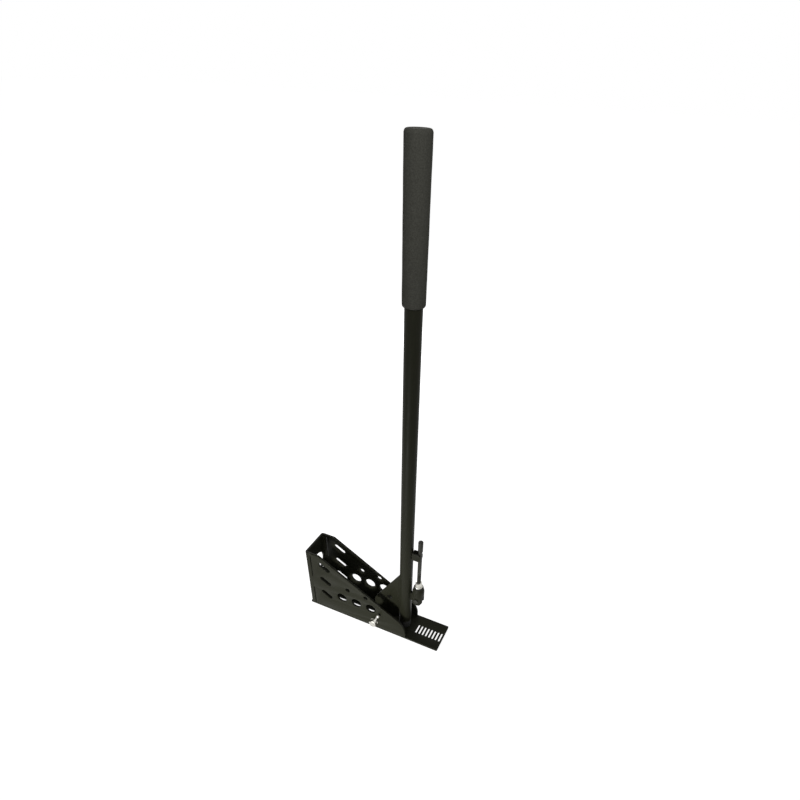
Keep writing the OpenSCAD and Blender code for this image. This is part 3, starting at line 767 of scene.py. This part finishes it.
class HANDBRAKE_OT_base(Operator):
    """Base plate with its slots, both side plates and the folded rear plate"""

    bl_idname = "handbrake.base"
    bl_label = "Base Plates"
    bl_options = {"REGISTER", "UNDO"}

    def base_plate(self, sizes):
        thickness = BASE_HIGH[2] - BASE_LOW[2]
        half = BASE_HIGH[1]
        foot = BASE_HIGH[0]
        rear_r = 2 * sizes.edge
        outline = fillet([(REAR_X, -half, rear_r), (foot, -half, sizes.foot_r),
                          (foot, half, sizes.foot_r), (REAR_X, half, rear_r)])
        floor = [slot_hole(side * sizes.floor_slot_pitch / 2, 0, sizes.floor_slot_l, sizes.floor_slot_w)
                 for side in (-1, 1)]
        rack = [slot_hole(foot - sizes.rack_margin - i * sizes.rack_pitch, 0, sizes.rack_l, sizes.rack_w,
                          math.pi / 2) for i in range(sizes.rack_count)]
        return plate([outline] + floor + rack, thickness, sizes.edge).moved(level(thickness / 2))

    def side_plate(self, sizes, y):
        rear = REAR_X + sizes.flange + sizes.slit
        slope_x = REAR_X + sizes.top_flat
        low, high, nose = SIDE_LOW[2], SIDE_HIGH[2], SIDE_HIGH[0]
        nose_z = high - (nose - slope_x) * math.tan(sizes.slope)
        top_land = high - sizes.top_land
        outline = fillet([
            (rear, low, 0), (nose, low, 0), (nose, nose_z, sizes.nose_r), (slope_x, high, sizes.corner_r),
            (rear - sizes.slit, high, 0), (rear - sizes.slit, top_land, 0), (rear, top_land, 0),
            (rear, sizes.land_high, 0), (rear - sizes.slit, sizes.land_high, 0),
            (rear - sizes.slit, sizes.land_low, 0), (rear, sizes.land_low, 0),
        ])
        holes = [round_hole(PIVOT[0], PIVOT[2], sizes.bolt_hole)]
        for i in range(3):
            big_x = REAR_X + sizes.big_first + i * sizes.big_pitch
            holes.append(round_hole(big_x, sizes.big_z, sizes.big_d))
            holes.append(slot_hole(REAR_X + sizes.vent_x, sizes.vent_top - i * sizes.vent_pitch,
                                   sizes.vent_l, sizes.vent_w, -sizes.slope))
        for i in range(2):
            holes.append(round_hole(REAR_X + sizes.small_first + i * sizes.small_pitch,
                                    sizes.small_z - i * sizes.small_drop, sizes.small_d))
        return plate([outline] + holes, SIDE_T, sizes.edge).moved(upright(y))

    def rear_plate(self, sizes):
        """Flat blank with the cylinder's port and bolt holes, folded forward along both sides."""
        low, high = box("rear_plate")
        flat = high[1] - sizes.fold_r
        middle_r = sizes.fold_r - sizes.rear_t / 2
        steps = flat + middle_r * np.linspace(0.0, math.pi / 2, 25)
        folds = np.concatenate([-steps[::-1], steps])
        end = steps[-1] + sizes.flange - sizes.fold_r
        across_u = np.concatenate([[-end], folds, [end]])
        outline = np.concatenate([np.stack([across_u, 0 * across_u + low[2]], -1),
                                  np.stack([across_u[::-1], 0 * across_u + high[2]], -1)])
        holes = [round_hole(0.0, sizes.port_z, sizes.port_d)]
        for side in (-1, 1):
            reach = side * sizes.port_bolt_pitch / 2
            off_y = -reach * math.sin(sizes.port_bolt_turn)
            off_z = reach * math.cos(sizes.port_bolt_turn)
            holes.append(round_hole(off_y, sizes.port_z + off_z, sizes.port_bolt_d))
        sheet = plate([outline] + holes, sizes.rear_t, sizes.edge, cuts=folds)
        return sheet.moved(folded(REAR_X + sizes.rear_t / 2, flat, middle_r))

    def execute(self, context):
        sizes = context.scene.handbrake_plates
        coat = powder_coat(context.scene.handbrake_finishes)
        side_y = SIDE_LOW[1] + SIDE_T / 2
        pieces = {
            "base_plate": self.base_plate(sizes),
            "near_side_plate": self.side_plate(sizes, side_y),
            "far_side_plate": self.side_plate(sizes, -side_y),
            "rear_plate": self.rear_plate(sizes),
        }
        for node, shell in pieces.items():
            add_piece(node + "_coated", shell, coat, "base", [node])
        return {"FINISHED"}


class HANDBRAKE_OT_buffer(Operator):
    """Rubber rest buffer under the tube, bulged between its ends"""

    bl_idname = "handbrake.buffer"
    bl_label = "Rest Buffer"
    bl_options = {"REGISTER", "UNDO"}

    def execute(self, context):
        low, high = box("rest_buffer")
        floor, top = BASE_HIGH[2], high[2]
        r = (high[0] - low[0]) / 2
        end_r, top_round, bulge_round = 0.93 * r, 1.5 * MM, 8 * MM
        shell = turned([(0, top, 0), (end_r, top, top_round), (r, (floor + top) / 2, bulge_round),
                        (end_r, floor, MM), (0, floor, 0)])
        shell = shell.moved(standing(LEVER_X))
        rubber = black_rubber(context.scene.handbrake_finishes)
        add_piece("rest_buffer_rubber", shell, rubber, "base", ["rest_buffer"])
        return {"FINISHED"}


class HANDBRAKE_OT_pivot(Operator):
    """Pivot bolt with its grease nipple, washers and locking nut"""

    bl_idname = "handbrake.pivot"
    bl_label = "Pivot Bolt"
    bl_options = {"REGISTER", "UNDO"}

    def washer(self, node, hole):
        low, high = box(node)
        r = (high[0] - low[0]) / 2
        t = high[1] - low[1]
        ring = turned_ring([(hole / 2, t, 0), (r, t, t / 4), (r, 0, t / 8), (hole / 2, 0, 0)])
        return ring.moved(lying(PIVOT, high[1], -1))

    def lean(self, sizes):
        """Direction of the grease nipple, which a flat of the bolt head faces."""
        return math.sin(sizes.nipple_lean), 0.0, math.cos(sizes.nipple_lean)

    def bolt(self, sizes):
        low, high = box("pivot_bolt")
        seat = box("near_washer")[0][1]
        nut_seat = box("far_washer")[1][1]
        r = sizes.bolt_d / 2
        head = hexagon(sizes.bolt_af, 0.0, seat - low[1], lower_rim=0.49)
        head = head.moved(aimed((PIVOT[0], seat, PIVOT[2]), (0, -1, 0), self.lean(sizes)))
        reach = nut_seat - seat + MM
        shank = turned([(0, reach, 0), (r, reach, 0), (r, -MM, 0), (0, -MM, 0)], 36)
        thread = threaded(sizes.bolt_d, sizes.thread_pitch, nut_seat - seat, high[1] - seat)
        along = lying(PIVOT, seat, 1)
        return joined(head, shank.moved(along), thread.moved(along))

    def nipple(self, sizes):
        """Chamfered hexagon block on the bolt head's flat, tapered neck and a ball with a dimpled mouth.

        At polar angle p from the axis, the ball's profile is r sin p wide and r cos p above its middle.
        """
        head_y = (box("pivot_bolt")[0][1] + box("near_washer")[0][1]) / 2
        seat = sizes.bolt_af / 2
        top = seat + sizes.nipple_block_h
        ball, neck, reach = sizes.nipple_ball, sizes.nipple_neck, sizes.nipple_l
        mouth, dimple = math.radians(24), 0.3 * ball
        polar = np.linspace(mouth, math.pi - math.asin(neck / ball), 16)
        dimple_r, lip_z = 0.5 * ball * math.sin(mouth), reach + ball * math.cos(mouth)
        profile = np.concatenate([
            [(dimple_r, lip_z - dimple), (1.5 * dimple_r, lip_z)],
            np.stack([ball * np.sin(polar), reach + ball * np.cos(polar)], -1),
            fillet([(neck, reach - ball, 0), (neck, top + sizes.nipple_taper, MM),
                    (0.47 * sizes.nipple_block, top, 0), (0.4 * sizes.nipple_block, seat, 0)], closed=False),
        ])
        body = revolve(profile[:, :1] + np.zeros(40), profile[:, 1:], (profile[0, 1], seat))
        block = hexagon(sizes.nipple_block, seat - 0.3 * MM, top)
        return joined(body, block).moved(aimed((PIVOT[0], head_y, PIVOT[2]), self.lean(sizes)))

    def nut(self, sizes):
        low, high = box("pivot_nut")
        height = high[1] - low[1]
        hexagon_h = 0.75 * height
        collar, collar_round = sizes.bolt_af / 2 - 0.75 * MM, 1.2 * MM
        bore, bore_round = sizes.bolt_d / 2, 0.3 * MM
        body = hexagon(sizes.bolt_af, 0.0, hexagon_h)
        ring = turned_ring([(bore, height, bore_round), (collar, height, collar_round),
                            (collar, hexagon_h - MM, 0), (bore, hexagon_h - MM, 0)])
        return joined(body, ring).moved(lying(PIVOT, low[1], 1))

    def execute(self, context):
        sizes = context.scene.handbrake_lever
        hole = context.scene.handbrake_plates.bolt_hole
        finish = context.scene.handbrake_finishes
        zinc = zinc_plate(finish)
        pieces = {
            "pivot_bolt": self.bolt(sizes),
            "grease_nipple": self.nipple(sizes),
            "near_washer": self.washer("near_washer", hole),
            "far_washer": self.washer("far_washer", hole),
            "pivot_nut": self.nut(sizes),
        }
        for node, shell in pieces.items():
            add_piece(node + "_plated", shell, zinc, "base", [node])
        dress("pivot_sleeve", zinc)
        for node in ("near_bush", "far_bush"):
            dress(node, sintered_bronze(finish))
        return {"FINISHED"}


class HANDBRAKE_OT_lever(Operator):
    """Lever tube, the blade behind it and the pivot boss"""

    bl_idname = "handbrake.lever"
    bl_label = "Lever"
    bl_options = {"REGISTER", "UNDO"}

    def tube(self, sizes):
        bore = TUBE_R - sizes.wall
        low, high = TUBE_LOW[2], TUBE_HIGH[2]
        end = 0.5 * MM
        ring = turned_ring([(bore, high, end), (TUBE_R, high, end), (TUBE_R, low, end),
                            (bore, low, end)], 96)
        return ring.moved(standing(LEVER_X))

    def blade(self, sizes, edge):
        corner, boss_rim = 3 * MM, 0.7 * MM
        front = LEVER_X - TUBE_R + sizes.wall + MM
        toe_z = TUBE_LOW[2] + 1.7 * corner
        outline = belt([
            (PIVOT[0], PIVOT[2], sizes.boss_r + boss_rim), (front, toe_z, corner),
            (front, sizes.blade_top, corner),
            (PIVOT[0] - sizes.heel_back, PIVOT[2] + sizes.heel_rise, sizes.heel_r),
        ])
        pin_hole = round_hole(PIVOT[0] + sizes.pin_dx, PIVOT[2] + sizes.pin_dz, sizes.pin_d)
        thickness = BLADE_HIGH[1] - BLADE_LOW[1]
        return plate([outline, pin_hole], thickness, edge).moved(upright(0.0))

    def boss(self, sizes):
        low, high = box("pivot_boss")
        wall, end = 2 * MM, 0.5 * MM
        bore = sizes.boss_r - wall
        t = high[1] - low[1]
        ring = turned_ring([(bore, t, end), (sizes.boss_r, t, end), (sizes.boss_r, 0, end), (bore, 0, end)])
        return ring.moved(lying(PIVOT, low[1], 1))

    def execute(self, context):
        sizes = context.scene.handbrake_lever
        finish = context.scene.handbrake_finishes
        coat = powder_coat(finish)
        edge = context.scene.handbrake_plates.edge
        pieces = {
            "lever_tube": self.tube(sizes),
            "lever_blade": self.blade(sizes, edge),
            "pivot_boss": self.boss(sizes),
        }
        for node, shell in pieces.items():
            add_piece(node + "_coated", shell, coat, "lever", [node])
        dress("tube_end_plug", plug_plastic(finish))
        return {"FINISHED"}


class HANDBRAKE_OT_grip(Operator):
    """Foam grip: a tapered sleeve with soft round ends, a dished top and a slightly uneven skin"""

    bl_idname = "handbrake.grip"
    bl_label = "Foam Grip"
    bl_options = {"REGISTER", "UNDO"}

    def execute(self, context):
        sizes = context.scene.handbrake_lever
        low, high = GRIP_LOW[2], GRIP_HIGH[2]
        top_r = (GRIP_HIGH[0] - GRIP_LOW[0]) / 2
        low_r = top_r - sizes.grip_taper
        fit = 0.1 * MM
        bore, ceiling = TUBE_R + fit, box("tube_end_plug")[1][2] + fit
        dish, dish_r = sizes.grip_dish, 0.55 * top_r
        soft, side_round, mouth_round = sizes.grip_round, 2 * MM, 0.6 * MM
        line = fillet([(0, high - dish, 0), (dish_r, high - 0.6 * dish, 0), (top_r - soft / 2, high, soft),
                       (top_r, high - soft, side_round), (low_r, low, soft), (bore, low, mouth_round),
                       (bore, ceiling, 0), (0, ceiling, 0)], closed=False)
        # The long straight side gets rows of its own, so that the skin can be uneven along it
        split = int(np.argmax(-np.diff(line[:, 1])))
        rows = np.linspace(0.0, 1.0, 60)[1:-1, None]
        side = line[split] + (line[split + 1] - line[split]) * rows
        line = np.concatenate([line[:split + 1], side, line[split + 1:]])
        # The skin lies u (1 - w / 3) inside the sleeve, with w the sum of three sine waves
        theta = round_angles(96)
        z = line[1:-1, 1:]
        waves = np.sin(3 * theta + 40 * z) + np.sin(2 * theta - 95 * z + 1.0) + np.sin(5 * theta + 170 * z)
        outside = (line[1:-1, :1] > bore + MM) * (z < high - side_round) * (z > low + side_round)
        radius = line[1:-1, :1] + sizes.grip_uneven * (waves / 3 - 1) * outside
        shell = revolve(radius, z, (line[0, 1], line[-1, 1]))
        shell = shell.moved(standing(LEVER_X))
        foam = foam_rubber(context.scene.handbrake_finishes)
        grip = add_piece("foam_grip_sleeve", shell, foam, "lever", ["foam_grip"])
        return {"FINISHED"}


class HANDBRAKE_OT_lock_strut(Operator):
    """Lock strut: lug, forked barrel, cross pin, seal, jam nut, rod, tip and stowing clip"""

    bl_idname = "handbrake.lock_strut"
    bl_label = "Lock Strut"
    bl_options = {"REGISTER", "UNDO"}

    def lug(self, sizes, edge):
        root = LEVER_X + 0.8 * TUBE_R
        half = sizes.lug_r
        outline = belt([(root, STRUT[2] - half, MM), (STRUT[0], STRUT[2], sizes.lug_r),
                        (root, STRUT[2] + half, MM)])
        hole = round_hole(STRUT[0], STRUT[2], sizes.pin_d)
        return plate([outline, hole], sizes.lug_t, edge).moved(upright(0.0))

    def clip(self, sizes):
        low, high = box("stow_clip")
        ear, sheet = sizes.clip_ear, sizes.clip_t
        edge = 0.3 * MM
        outline = belt([(low[0] + edge, low[2] + edge, edge), (high[0] - ear, low[2] + ear, ear),
                        (high[0] - ear, high[2] - ear, ear), (low[0] + edge, high[2] - edge, edge)])
        ear_y = high[1] - sheet / 2
        ears = [plate([outline], sheet, edge).moved(upright(y)) for y in (-ear_y, ear_y)]
        # The spine stays a hair inside the ears, so that no two faces share a plane
        hair = 0.1 * MM
        half, bottom, top = high[1] - hair, low[2] + hair, high[2] - hair
        spine = fillet([(-half, bottom, edge), (half, bottom, edge), (half, top, edge), (-half, top, edge)])
        return joined(plate([spine], sheet, edge).moved(across(low[0] + sheet / 2)), *ears)

    def barrel(self, sizes):
        """Turned body with a tapered shoulder, over two cheeks that straddle the lug.

        The row of a cheek that lies y off the middle plane is w = sqrt(R^2 - y^2) wide to each side, and
        its end, t from -1 to 1, falls to sqrt(R^2 - (t w)^2) below the cross pin.
        """
        top = box("strut_barrel")[1][2]
        neck = box("strut_washer")[1][1]
        r = sizes.barrel_d / 2
        fork_clear, neck_round, shoulder_round, fork_round = 1.2 * MM, 0.8 * MM, 6 * MM, 0.4 * MM
        fork_top = STRUT[2] + sizes.lug_r + fork_clear
        body = turned([(0, top, 0), (neck, top, neck_round), (r, top - sizes.shoulder, shoulder_round),
                       (r, fork_top, fork_round), (0, fork_top, 0)])
        parts = [body.moved(standing(STRUT[0]))]
        cheek_t = (sizes.fork_flat - sizes.fork_gap) / 2
        middle = (sizes.fork_flat + sizes.fork_gap) / 4
        # A cheek lies just within the round of the body, where both overlap
        within = r - 0.03 * MM
        edge, layers = 0.6 * MM, 6
        hole = round_hole(STRUT[0], STRUT[2], sizes.pin_d)
        for side in (-1, 1):
            off = middle - side * edge_rows(cheek_t, edge, layers)[0]
            half = np.sqrt(within ** 2 - off ** 2)[:, None]
            x = half * np.concatenate([np.linspace(-1.0, 1.0, 41), (1.0, -1.0)])
            root = 0 * x[:, -2:] + fork_top + MM - STRUT[2]
            z = np.concatenate([-np.sqrt(within ** 2 - x[:, :-2] ** 2), root], 1)
            cheek = plate([np.dstack([x, z]) + STRUT[[0, 2]], hole], cheek_t, edge, layers)
            parts.append(cheek.moved(upright(side * middle)))
        return joined(*parts)

    def pin(self, sizes):
        low, high = box("strut_pin")
        r, head = sizes.pin_d / 2, 1.5 * sizes.pin_d / 2
        span, head_t = high[1] - low[1], 1.5 * MM
        end_round, rim_round = 0.5 * MM, 0.2 * MM
        shell = turned([(0, span, 0), (head, span, end_round), (head, span - head_t, rim_round),
                        (r, span - head_t, 0), (r, 0, end_round), (0, 0, 0)], 48)
        return shell.moved(lying(STRUT, high[1], -1))

    def ring(self, sizes):
        low, high = box("strut_pin_clip")
        r, t = (high[0] - low[0]) / 2, high[1] - low[1]
        groove = rim = 0.3 * MM
        bore = sizes.pin_d / 2 - groove
        shell = turned_ring([(bore, t, 0), (r, t, rim), (r, 0, rim), (bore, 0, 0)], 48)
        return shell.moved(lying(STRUT, low[1], 1))

    def seal(self):
        low, high = box("strut_washer")
        r, t = (high[0] - low[0]) / 2, high[2] - low[2]
        rim = 0.45 * t
        shell = turned([(0, t, 0), (r, t, rim), (r, 0, rim), (0, 0, 0)])
        return shell.moved(standing(STRUT[0], low[2]))

    def nut(self, sizes):
        low, high = box("strut_nut")
        height = high[2] - low[2]
        flange = 0.3 * height
        r = sizes.nut_flange / 2
        cone_r, rim_h = 0.82 * r, 0.4 * flange
        cone_round, rim_round, foot_round = 0.4 * MM, 0.3 * MM, 0.2 * MM
        skirt = turned([(0, flange, 0), (cone_r, flange, cone_round), (r, rim_h, rim_round),
                        (r, 0, foot_round), (0, 0, 0)])
        body = hexagon(sizes.nut_af, 0.2 * flange, height, upper_rim=0.4)
        return joined(skirt, body).moved(standing(STRUT[0], low[2]))

    def rod(self, sizes):
        low, high = box("strut_rod")
        seat = box("strut_barrel")[1][2]
        thread_end = seat + sizes.rod_thread
        r = sizes.rod_d / 2
        plain = turned([(0, high[2], 0), (r, high[2], 0), (r, thread_end - MM, 0.3 * MM),
                        (0, thread_end - MM, 0)], 36)
        thread = threaded(sizes.rod_d, sizes.rod_pitch, low[2], thread_end)
        return joined(plain, thread).moved(standing(STRUT[0]))

    def tip(self, sizes):
        """Sleeve with a rounded end and a chamfered mouth."""
        low, high = box("strut_tip")
        r = (high[1] - low[1]) / 2
        mouth = 0.5 * MM
        shell = turned([(0, high[2], 0), (r, high[2], sizes.tip_round), (r, low[2] + mouth, 0),
                        (r - mouth, low[2], 0), (0, low[2], 0)], 48)
        return shell.moved(standing(STRUT[0]))

    def execute(self, context):
        sizes = context.scene.handbrake_strut
        finish = context.scene.handbrake_finishes
        edge = context.scene.handbrake_plates.edge
        coat, zinc, oxide = powder_coat(finish), zinc_plate(finish), black_oxide(finish)
        rows = [
            ("strut_lug", "coated", self.lug(sizes, edge), coat, "lever", "powder_coat"),
            ("stow_clip", "coated", self.clip(sizes), coat, "lever", "powder_coat"),
            ("strut_pin", "blackened", self.pin(sizes), oxide, "lever", "black_oxide"),
            ("strut_pin_clip", "blackened", self.ring(sizes), oxide, "lever", "black_oxide"),
            ("strut_barrel", "coated", self.barrel(sizes), coat, "strut", "powder_coat"),
            ("strut_washer", "rubber", self.seal(), black_rubber(finish), "strut", "rubber"),
            ("strut_nut", "plated", self.nut(sizes), zinc, "strut", "zinc_plate"),
            ("strut_rod", "blackened", self.rod(sizes), oxide, "strut", "black_oxide"),
            ("strut_tip", "blackened", self.tip(sizes), oxide, "strut", "black_oxide"),
        ]
        for node, ending, shell, material, body, slot in rows:
            add_piece(f"{node}_{ending}", shell, material, body, [node])
        dress("clip_rivet", zinc)
        return {"FINISHED"}


class HANDBRAKE_OT_welds(Operator):
    """Weld beads that join the plates of the base, and the tube, blade, boss and lug of the lever"""

    bl_idname = "handbrake.welds"
    bl_label = "Welds"
    bl_options = {"REGISTER", "UNDO"}

    def execute(self, context):
        radius = context.scene.handbrake_lever.weld
        boss_r = context.scene.handbrake_lever.boss_r
        strut = context.scene.handbrake_strut
        coat = powder_coat(context.scene.handbrake_finishes)
        inner, floor = SIDE_HIGH[1], BASE_HIGH[2]
        rear_face = box("rear_plate")[0][0] + SIDE_T
        # How far beads stop short of plate ends, of the base's corners and of the blade's top
        end_gap, corner_gap, top_gap = 4 * MM, 3 * MM, 2 * MM
        start, end = SIDE_LOW[0] + end_gap, SIDE_HIGH[0] - end_gap
        base = [straight_bead((start, y, floor), (end, y, floor), radius) for y in (-inner, inner)]
        reach = -inner - corner_gap
        base.append(straight_bead((rear_face, -reach, floor), (rear_face, reach, floor), radius))
        add_piece("base_welds", joined(*base), coat, "base", [])
        half_blade = BLADE_HIGH[1]
        back = LEVER_X - math.sqrt(TUBE_R ** 2 - half_blade ** 2)
        front = LEVER_X + math.sqrt(TUBE_R ** 2 - half_blade ** 2)
        theta = round_angles(90)
        lever = []
        for side in (-1, 1):
            y = side * half_blade
            low, high = TUBE_LOW[2] + end_gap, BLADE_HIGH[2] - top_gap
            lever.append(straight_bead((back, y, low), (back, y, high), radius))
            low, high = STRUT[2] - strut.lug_r, STRUT[2] + strut.lug_r
            lever.append(straight_bead((front, y, low), (front, y, high), MM))
            path = np.stack([boss_r * np.cos(theta), y + 0 * theta, boss_r * np.sin(theta)], -1)
            path = path + PIVOT * (1, 0, 1)
            lever.append(bead(path, 0.6 * radius, np.array((0.0, 1.0, 0.0)), closed=True))
        add_piece("lever_welds", joined(*lever), coat, "lever", [])
        return {"FINISHED"}


class HANDBRAKE_OT_stage(Operator):
    """Pale floor, plain studio light and the camera"""

    bl_idname = "handbrake.stage"
    bl_label = "Studio"
    bl_options = {"REGISTER", "UNDO"}

    def seen(self, tree):
        """One where a camera, mirror or glass ray sees the background, else nought."""
        path = put(tree, "ShaderNodeLightPath").outputs
        first = put(tree, "ShaderNodeMath", {0: path["Is Camera Ray"], 1: path["Is Glossy Ray"]},
                    operation="MAXIMUM")
        second = put(tree, "ShaderNodeMath", {0: first.outputs["Value"], 1: path["Is Transmission Ray"]},
                     operation="MAXIMUM")
        return second.outputs["Value"]

    def floor(self, studio):
        """White floor: lit enough to hold the shadow, with a glow that only what sees it gets."""
        material = bpy.data.materials.new("Floor")
        material.use_nodes = True
        tree = material.node_tree
        tree.nodes.clear()
        white = studio.floor_white
        lit = put(tree, "ShaderNodeBsdfDiffuse", {"Color": (white, white, white, 1.0)})
        strength = put(tree, "ShaderNodeMath", {0: self.seen(tree), 1: studio.floor_glow},
                       operation="MULTIPLY")
        glow = put(tree, "ShaderNodeEmission", {"Strength": strength.outputs["Value"]})
        both = put(tree, "ShaderNodeAddShader", {0: lit.outputs["BSDF"], 1: glow.outputs["Emission"]})
        put(tree, "ShaderNodeOutputMaterial", {"Surface": both.outputs["Shader"]})
        half, z = studio.floor_reach, -studio.floor_drop
        mesh = bpy.data.meshes.new("floor")
        corners = np.array([(-half, -half, z), (half, -half, z), (half, half, z), (-half, half, z)])
        mesh.from_pydata(corners, [], [(0, 1, 2, 3)])
        mesh.materials.append(material)
        floor = bpy.data.objects.new("floor", mesh)
        bpy.context.scene.collection.objects.link(floor)

    def sky(self, studio):
        """White surroundings, dimmer for the light that they give than for what sees them."""
        world = bpy.data.worlds.new("Studio")
        bpy.context.scene.world = world
        world.use_nodes = True
        tree = world.node_tree
        tree.nodes.clear()
        light, white = (put(tree, "ShaderNodeBackground", {"Color": (1.0, 1.0, 1.0, 1.0), "Strength": power})
                        for power in (studio.sky, 1.0))
        mix = put(tree, "ShaderNodeMixShader", {"Fac": self.seen(tree), 1: light.outputs["Background"],
                                                2: white.outputs["Background"]})
        put(tree, "ShaderNodeOutputWorld", {"Surface": mix.outputs["Shader"]})

    def lamp(self, name, place, target, size, power, spread):
        light = bpy.data.lights.new(name, "AREA")
        light.shape, light.size, light.energy, light.spread = "DISK", size, power, spread
        lamp = bpy.data.objects.new(name, light)
        lamp.location = place
        lamp.rotation_mode = "QUATERNION"
        lamp.rotation_quaternion = (Vector(target) - Vector(place)).to_track_quat("-Z", "Y")
        lamp.visible_camera = False
        bpy.context.scene.collection.objects.link(lamp)

    def camera(self, studio):
        data = bpy.data.cameras.new("camera")
        data.sensor_width, data.lens = SENSOR, studio.lens
        data.shift_x, data.shift_y = studio.shift_x, studio.shift_y
        data.clip_start, data.clip_end = 0.01, 50.0
        camera = bpy.data.objects.new("camera", data)
        back = Vector((math.sin(studio.azimuth), -math.cos(studio.azimuth), math.tan(studio.elevation)))
        back.normalize()
        aim = Vector((studio.aim_x, 0.0, studio.aim_z))
        turn = (-back).to_track_quat("-Z", "Y").to_matrix() @ Matrix.Rotation(studio.roll, 3, "Z")
        camera.matrix_world = Matrix.Translation(aim + back * studio.distance) @ turn.to_4x4()
        bpy.context.scene.collection.objects.link(camera)
        bpy.context.scene.camera = camera

    def execute(self, context):
        studio = context.scene.handbrake_studio
        self.floor(studio)
        self.sky(studio)
        for name, (place, target) in LAMPS.items():
            size, power, spread = (getattr(studio, f"{name}_{part}") for part in ("size", "power", "spread"))
            self.lamp(name, place, target, size, power, spread)
        self.camera(studio)
        context.scene.view_settings.view_transform = "Standard"
        return {"FINISHED"}


class HANDBRAKE_PT_panel(Panel):
    """Pieces of the hand brake lever and their sizes"""

    bl_label = "Hand Brake Lever"
    bl_space_type = "VIEW_3D"
    bl_region_type = "UI"
    bl_category = "Hand Brake"

    def draw(self, context):
        for operator in OPERATORS:
            self.layout.operator(operator.bl_idname)
        for name in SETTINGS:
            group = getattr(context.scene, name)
            box_layout = self.layout.box()
            for key in group.__annotations__:
                box_layout.prop(group, key)


SETTINGS = {
    "handbrake_plates": PlateSizes,
    "handbrake_lever": LeverSizes,
    "handbrake_strut": StrutSizes,
    "handbrake_finishes": Finishes,
    "handbrake_studio": Studio,
}
OPERATORS = (HANDBRAKE_OT_base, HANDBRAKE_OT_buffer, HANDBRAKE_OT_pivot, HANDBRAKE_OT_lever,
             HANDBRAKE_OT_grip, HANDBRAKE_OT_lock_strut, HANDBRAKE_OT_welds, HANDBRAKE_OT_stage)


def register():
    for name, group in SETTINGS.items():
        bpy.utils.register_class(group)
        setattr(bpy.types.Scene, name, PointerProperty(type=group))
    for cls in OPERATORS + (HANDBRAKE_PT_panel,):
        bpy.utils.register_class(cls)


def unregister():
    for cls in (HANDBRAKE_PT_panel,) + OPERATORS[::-1]:
        bpy.utils.unregister_class(cls)
    for name, group in SETTINGS.items():
        delattr(bpy.types.Scene, name)
        bpy.utils.unregister_class(group)


def main():
    register()
    for operator in OPERATORS:
        group, name = operator.bl_idname.split(".")
        getattr(getattr(bpy.ops, group), name)()


if __name__ == "__main__":
    main()
